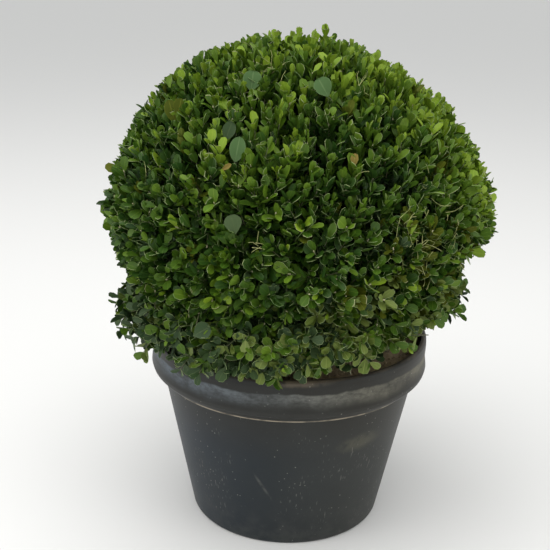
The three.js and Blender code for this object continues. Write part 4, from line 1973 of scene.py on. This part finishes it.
@dataclass
class FringeShoots:
    """The loose shoots under the clipped ball.

    Their tips lie from top down to low, and end higher by raised at the right front, where the mix
    shows. The outline is the fringe's radius at the shares outline_at of the way down. No shoot
    leaves its twig under lowest_foot, even if it is only as long as shortest.
    """

    rng: Chance
    count: int = 900
    leaf: float = 0.0165
    top: float = 0.306
    low: float = 0.240
    raised: float = 0.047
    outline: tuple[float, ...] = (0.203, 0.208, 0.202, 0.188, 0.166)
    outline_at: tuple[float, ...] = (0, 0.35, 0.6, 0.8, 1.0)
    shortest: float = 0.043
    lowest_foot: float = 0.241

    def build(self) -> Shoots:
        """Places the tips, some of them deeper and some astray, and deals out the colours."""
        rng, count = self.rng, self.count
        turn = np.arange(count) * GOLDEN_ANGLE
        degrees = np.degrees(turn) % 360
        around = np.stack([np.cos(turn), np.sin(turn), np.zeros(count)], axis=1)
        raised = bell((degrees + 90) % 360 - 57, 46)
        right = bell((degrees + 191) % 360 - 180, 42)
        left = bell((degrees + 349) % 360 - 180, 46)
        share = rng.uniform(0, 1, count)
        height = self.top - (self.top - (self.low + self.raised * raised)) * share
        outline = np.interp(share, self.outline_at, self.outline)
        outline = outline - right * (0.009 + 0.011 * smoothstep(0.0, 0.6, share))
        outline = outline + left * (0.019 * smoothstep(0.30, 0.80, share) - 0.012)
        radius = outline + 0.005 * wave(around, 21) - np.abs(rng.normal(0, 0.010, count)) + 0.003
        deep = rng.uniform(size=count) < 0.30
        radius -= deep * rng.uniform(0.015, 0.050, count)
        stray = rng.uniform(size=count) < 0.045 + 0.10 * left
        stray_radius = rng.uniform(0.205, 0.219, count) - 0.009 * left - 0.005 * right
        radius = np.where(stray, stray_radius, radius)
        stray_height = rng.uniform(0.248, 0.285, count) + 0.024 * raised - 0.006 * left
        height = np.where(stray, stray_height, height)
        tip = around * radius[:, None] + UP * height[:, None]
        sink = -0.9 * smoothstep(0.300, 0.238, height) + 0.15
        stir = np.where(stray, 0.16, 0.38)[:, None]
        axis = unit(around + sink[:, None] * UP + stir * rng.normal(size=around.shape))
        over_mix = (raised > 0.4) & (radius < 0.174) & (height < 0.282)
        low_foot = tip[:, 2] - axis[:, 2] * self.shortest < self.lowest_foot
        shoots = Shoots(
            tip=tip,
            axis=axis,
            vigour=self._vigour(around),
            size=self.leaf * rng.uniform(0.85, 1.15, count),
            pairs=rng.integers(5, 7, count),
            clipped=np.zeros(count, bool),
            broad=np.ones(count, bool),
        )
        return shoots.kept(~over_mix & ~low_foot)

    def _vigour(self, around: Array) -> Array:
        """Each shoot's place on the colour scale, darker at the left, where the shade leaves are painted
        shade.
        """
        rng, count = self.rng, self.count
        vigour = 0.95 + 0.3 * around[:, 0] + 0.4 * wave(around, 23) + rng.normal(0, 0.6, count)
        # Painted shade: most shoots at the left get the darkened shade leaves.
        darker = rng.choice([SHADE_VIGOUR, 1.75, 2.5], count, p=[0.75, 0.23, 0.02])
        at_left = 0.95 * smoothstep(0.35, -0.55, around[:, 0])
        return np.where(rng.uniform(size=count) < at_left, darker, vigour)


@dataclass
class Foliage:
    """The clipped ball and its fringe: twigs, leafy shoots and leaves out to the source's reach."""

    finishes: Finishes
    scatter: Scatter
    limbs: Limbs
    reach: Reach = field(default_factory=Reach)
    lens: Lens = field(default_factory=Lens)
    seed: int = 46
    most_leaves: int = 14000
    rng: Chance = field(init=False)

    def __post_init__(self) -> None:
        """Seeds all chance in it."""
        self.rng = np.random.default_rng(self.seed)

    def build(self) -> None:
        """Builds all wood and leaves of both masses."""
        ball = BallShoots(self.reach, self.lens, self.rng, self.seed + 2).build()
        fringe = FringeShoots(self.rng).build()
        self._ball_wood(ball)
        self._fringe_wood(fringe)
        leaves = Leafing(ball, self.reach, self.rng, BALL.lift).build()
        self._leaves(BALL, self._with_accents(leaves, ball))
        self._leaves(FRINGE, Leafing(fringe, self.reach, self.rng, FRINGE.lift).build())

    def _ball_wood(self, shoots: Shoots) -> None:
        """Grows branches and twigs from the main boughs out to the ball's shoots.

        Args:
            shoots: the ball's shoots.
        """
        brown, thin, green = Wood(), Wood(), Wood()
        starts = np.concatenate([path[10:] for path in self.limbs.main_paths])
        ends = self._inside(46, -0.30, (0.42, 0.56))
        branches = grow(brown, starts, ends, 4, (0.0024, 0.0014), self.rng)
        ends = self._inside(460, -0.33, (0.66, 0.80))
        twigs = grow(brown, branches, ends, 3, (0.0013, 0.0008), self.rng)
        bases = shoots.base()
        grow(thin, twigs, bases, 2, (0.0008, SHOOT_RADIUS), self.rng)
        green.add(bases, shoots.tip, SHOOT_RADIUS)
        self._wood("ball_branches", brown, self.finishes.bark, BALL_NODES)
        self._wood("ball_twigs", thin, self.finishes.bark, BALL_NODES)
        self._wood("ball_shoots", green, self.finishes.green_wood, BALL_NODES)
        self._cut_ends(shoots)
        self._bare_stalks()

    def _inside(self, count: int, low: float, shares: Span) -> Array:
        """Points inside the ball, at some shares of its radius and on ways out down to low."""
        out = directions(count, low, self.rng) * self.reach.radius
        return np.array(self.reach.centre) + out * self.rng.uniform(*shares, (count, 1))

    def _fringe_wood(self, shoots: Shoots) -> None:
        """Grows twigs from the low boughs out to the fringe's shoots.

        Args:
            shoots: the fringe's shoots.
        """
        brown, green = Wood(), Wood()
        starts = np.concatenate([path[10:] for path in self.limbs.low_paths])
        rng, count = self.rng, 72
        turn = np.arange(count) * FULL_TURN / count + rng.normal(0, 0.03, count)
        radius = rng.uniform(0.125, 0.165, count)
        height = rng.uniform(0.250, 0.276, count)
        ends = np.stack([radius * np.cos(turn), radius * np.sin(turn), height], axis=1)
        twigs = grow(brown, starts, ends, 3, (0.0018, 0.0009), rng)
        bases = shoots.base()
        grow(brown, np.concatenate([twigs, starts]), bases, 3, (0.0008, SHOOT_RADIUS), rng)
        green.add(bases, shoots.tip, SHOOT_RADIUS)
        self._wood("fringe_twigs", brown, self.finishes.bark, FRINGE_NODES)
        self._wood("fringe_shoots", green, self.finishes.green_wood, FRINGE_NODES)

    def _wood(self, name: str, wood: Wood, finish: Material, nodes: tuple[str, ...]) -> None:
        """Makes one piece of gathered twigs.

        Args:
            name: the piece's name.
            wood: the twigs.
            finish: their material.
            nodes: the nodes that they stand for.
        """
        stand = wood.stand()
        form = twig_form(name + "_form", 4 if stand.size[:, 1].max() > 0.001 else 3)
        add_piece(self.scatter.make(name, [form], finish, stand), nodes)
        discard([form])

    def _cut_ends(self, shoots: Shoots) -> None:
        """Makes the pale ends of the shoots that the shears cut.

        Args:
            shoots: the ball's shoots.
        """
        cut = shoots.kept(shoots.clipped)
        rng, count = self.rng, len(cut.tip)
        form = twig_form("cut_end_form", 5)
        radius = rng.uniform(0.0006, 0.0010, count)
        size = np.stack([rng.uniform(0.0016, 0.0034, count), radius, radius], axis=1)
        stand = Stand(cut.tip - cut.axis * 0.0008, cut.axis, np.broadcast_to(TWIG_FACE, (count, 3)), size)
        piece = self.scatter.make("ball_cut_ends", [form], self.finishes.cut_wood, stand)
        add_piece(piece, BALL_NODES)
        discard([form])

    def _bare_stalks(self) -> None:
        """Thin bent stalks that the shears left without leaves, most of them on the browned side."""
        rng = np.random.default_rng(self.seed + 1)
        out = directions(2400, -0.3, rng)
        many = 0.012 + 0.50 * near(out, BROWNED_SIDE, 0.035)
        out = out[rng.uniform(size=len(out)) < many]
        run = unit(unit(np.cross(out, rng.normal(size=out.shape))) + 0.5 * UP)
        bend = np.cross(out, run) * rng.uniform(-0.4, 0.4, (len(out), 1))
        length = rng.uniform(0.011, 0.021, (len(out), 1))
        root = self.reach.ball_point(out, np.full(len(out), 0.003))
        wood, before = Wood(), root
        for share in (0.25, 0.5, 0.75, 1.0):
            spot = root + length * (share * run + math.sin(math.pi * share) * bend) + 0.007 * share * out
            wood.add(before, spot + 0.03 * (spot - before), 0.00035)
            before = spot
        for knot in KNOTS:
            self._knot(wood, self.lens.on_ball(knot, self.reach), rng)
        self._wood("ball_bare_stalks", wood, self.finishes.stalk, BALL_NODES)

    def _knot(self, wood: Wood, middle: Array, rng: Chance) -> None:
        """Gathers a knot of short forked stalks.

        Args:
            wood: where they are gathered.
            middle: the knot's middle.
            rng: the seeded source of chance.
        """
        straight = unit(middle - np.array(self.reach.centre))
        run = unit(0.8 * straight + 0.8 * rng.normal(size=(KNOT_STALKS, 3)) + 0.5 * UP)
        root = middle - 0.008 * straight + 0.003 * rng.normal(size=(KNOT_STALKS, 3))
        spot = root + run * rng.uniform(0.009, 0.016, (KNOT_STALKS, 1))
        wood.add(root, spot, 0.0004)
        turned = unit(run + 0.4 * rng.normal(size=run.shape))
        wood.add(spot, spot + 0.005 * turned, 0.00033)

    def _with_accents(self, leaves: Leaves, shoots: Shoots) -> Leaves:
        """Adds the leaves that stand out, each on the shoot nearest to its place.

        Args:
            leaves: the ball's leaves.
            shoots: its shoots.

        Returns:
            The leaves with those added.
        """
        found, stalks = [leaves], Wood()
        right, up, _ = self.lens.axes()
        for accent in ACCENTS:
            turn = math.radians(accent.turn)
            along = unit(up * math.cos(turn) + right * math.sin(turn) + 0.25 * unit(self.lens.place))
            middle = self.lens.on_ball(accent.spot, self.reach)
            middle = middle - ACCENT_DEPTH * unit(middle - np.array(self.reach.centre))
            wanted = middle - along * accent.size / 2
            shoot = shoots.tip[np.argmin(np.linalg.norm(shoots.tip - wanted, axis=1))]
            root = wanted + 0.15 * (shoot - wanted)
            face = unit(self.lens.place - middle) + accent.lift * UP
            stalks.add(shoot[None], root[None], SHOOT_RADIUS)
            values = (root, along, face, accent.size, accent.form, accent.tint, accent.vigour)
            found.append(Leaves(*(np.array([value]) for value in values)))
        self._wood("ball_leaf_stalks", stalks, self.finishes.green_wood, BALL_NODES)
        return Leaves.joined(found)

    def _leaves(self, mass: Mass, leaves: Leaves) -> None:
        """Makes the leaves of one mass, a few pieces for each kind, and their pale rims.

        Args:
            mass: the mass.
            leaves: its leaves.
        """
        kinds = mass.kind_of(leaves.vigour)
        size = np.ones((len(kinds), 3)) * leaves.length[:, None]
        size[:, 1] *= self.rng.uniform(0.92, 1.08, len(kinds))
        slot = f"{mass.name}_leaves"
        forms = [BLADE_FORMS[blade].build(f"blade_{blade.value}") for blade in Blade]
        for kind in Leaf:
            picked = np.flatnonzero(kinds == kind)
            for part, rows in enumerate(np.array_split(picked, len(picked) // self.most_leaves + 1)):
                if not len(rows):
                    continue
                name = f"{slot}_{kind.value}_{part + 1}"
                stand = leaves.kept(rows).stand(size[rows])
                piece = self.scatter.make(name, forms, self.finishes.leaves[kind], stand)
                add_piece(piece, mass.nodes)
        discard(forms)
        rows = self._rimmed(mass, leaves)
        mirrored = size[rows]
        mirrored[:, 1] *= self.rng.choice([-1, 1], len(rows))
        forms = [BLADE_FORMS[blade].margin(f"margin_{blade.value}") for blade in Blade]
        stand = leaves.kept(rows).stand(mirrored)
        rims = self.scatter.make(f"{mass.name}_leaf_margins", forms, self.finishes.margin, stand)
        add_piece(rims, mass.nodes)
        discard(forms)

    def _rimmed(self, mass: Mass, leaves: Leaves) -> Array:
        """Picks the outer leaves that have a pale rim.

        Args:
            mass: the mass.
            leaves: its leaves.

        Returns:
            The numbers of their rows.
        """
        middles = leaves.root + leaves.along * leaves.length[:, None] / 2
        out = unit(middles - np.array(self.reach.centre))
        share = 0.48 + 0.14 * wave(out, 31) + 0.20 * near(out, BROWNED_SIDE, 0.07)
        share = np.clip(share, 0.15, 0.75) * (1 - 0.4 * smoothstep(0.55, 0.9, out[:, 2]))
        share = np.where(leaves.form == Blade.CUT, 0.5, share + mass.more_rims)
        outer = self.reach.beyond(middles) > -0.018
        plain = (leaves.vigour < BLUISH_VIGOUR - 5) | (leaves.vigour > OLIVE_VIGOUR - 5)
        return np.flatnonzero(outer & plain & (self.rng.uniform(size=len(outer)) < share))


@dataclass(frozen=True)
class Light:
    """A square area light. Its power is in watts."""

    name: str
    place: Point
    size: float
    power: float
    aim: Point = (0, 0, 0.3)

    def build(self) -> None:
        """Adds the light."""
        data = bpy.data.lights.new(self.name, "AREA")
        data.size = self.size
        data.energy = self.power
        light = linked(self.name, data)
        light.location = self.place
        light.rotation_euler = (Vector(self.aim) - Vector(self.place)).to_track_quat("-Z", "Y").to_euler()


@dataclass(frozen=True)
class Studio:
    """A plain pale floor, soft light and a pale surround."""

    floor_half: float = 400.0
    floor: Rgb = (0.80, 0.79, 0.77)
    surround: Rgb = (0.90, 0.92, 0.93)
    surround_strength: float = 0.80
    lights: tuple[Light, ...] = (
        Light("above", (-0.3, -0.5, 2.6), 3.0, 52.0),
        Light("left", (-2.4, -1.2, 1.5), 1.6, 16.0),
        Light("right", (2.4, -1.5, 1.4), 1.6, 13.0),
    )

    def build(self) -> None:
        """Builds the floor, the lights and the surround."""
        corners = np.array([(-1, -1, 0), (1, -1, 0), (1, 1, 0), (-1, 1, 0)])
        floor = mesh_object("floor", self.floor_half * corners, [(0, 1, 2, 3)], smooth=False)
        material, _, shader = new_material("floor", Roughness=0.85)
        shader.inputs["Base Color"].default_value = rgba(self.floor)
        floor.data.materials.append(material)
        for light in self.lights:
            light.build()
        world = bpy.data.worlds.new("surround")
        world.use_nodes = True
        ground = world.node_tree.nodes["Background"]
        ground.inputs[0].default_value = rgba(self.surround)
        ground.inputs[1].default_value = self.surround_strength
        bpy.context.scene.world = world
        settings = bpy.context.scene.view_settings
        settings.view_transform = "Standard"
        settings.look = "None"
        settings.exposure = 0.0


def main(frame: dict) -> None:
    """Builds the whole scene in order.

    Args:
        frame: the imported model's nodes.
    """
    log.info("nodes in the frame: %d", len(frame["nodes"]))
    finishes = Finishes()
    scatter = Scatter()
    Pot(finishes.plastic).build()
    PottingMix(finishes, scatter).build()
    limbs = Limbs(finishes)
    limbs.build()
    Foliage(finishes, scatter, limbs).build()
    Studio().build()
    Lens().camera()


if __name__ == "__main__":
    logging.basicConfig(level=logging.INFO, format="%(name)s %(message)s")
    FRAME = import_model()
    main(FRAME)
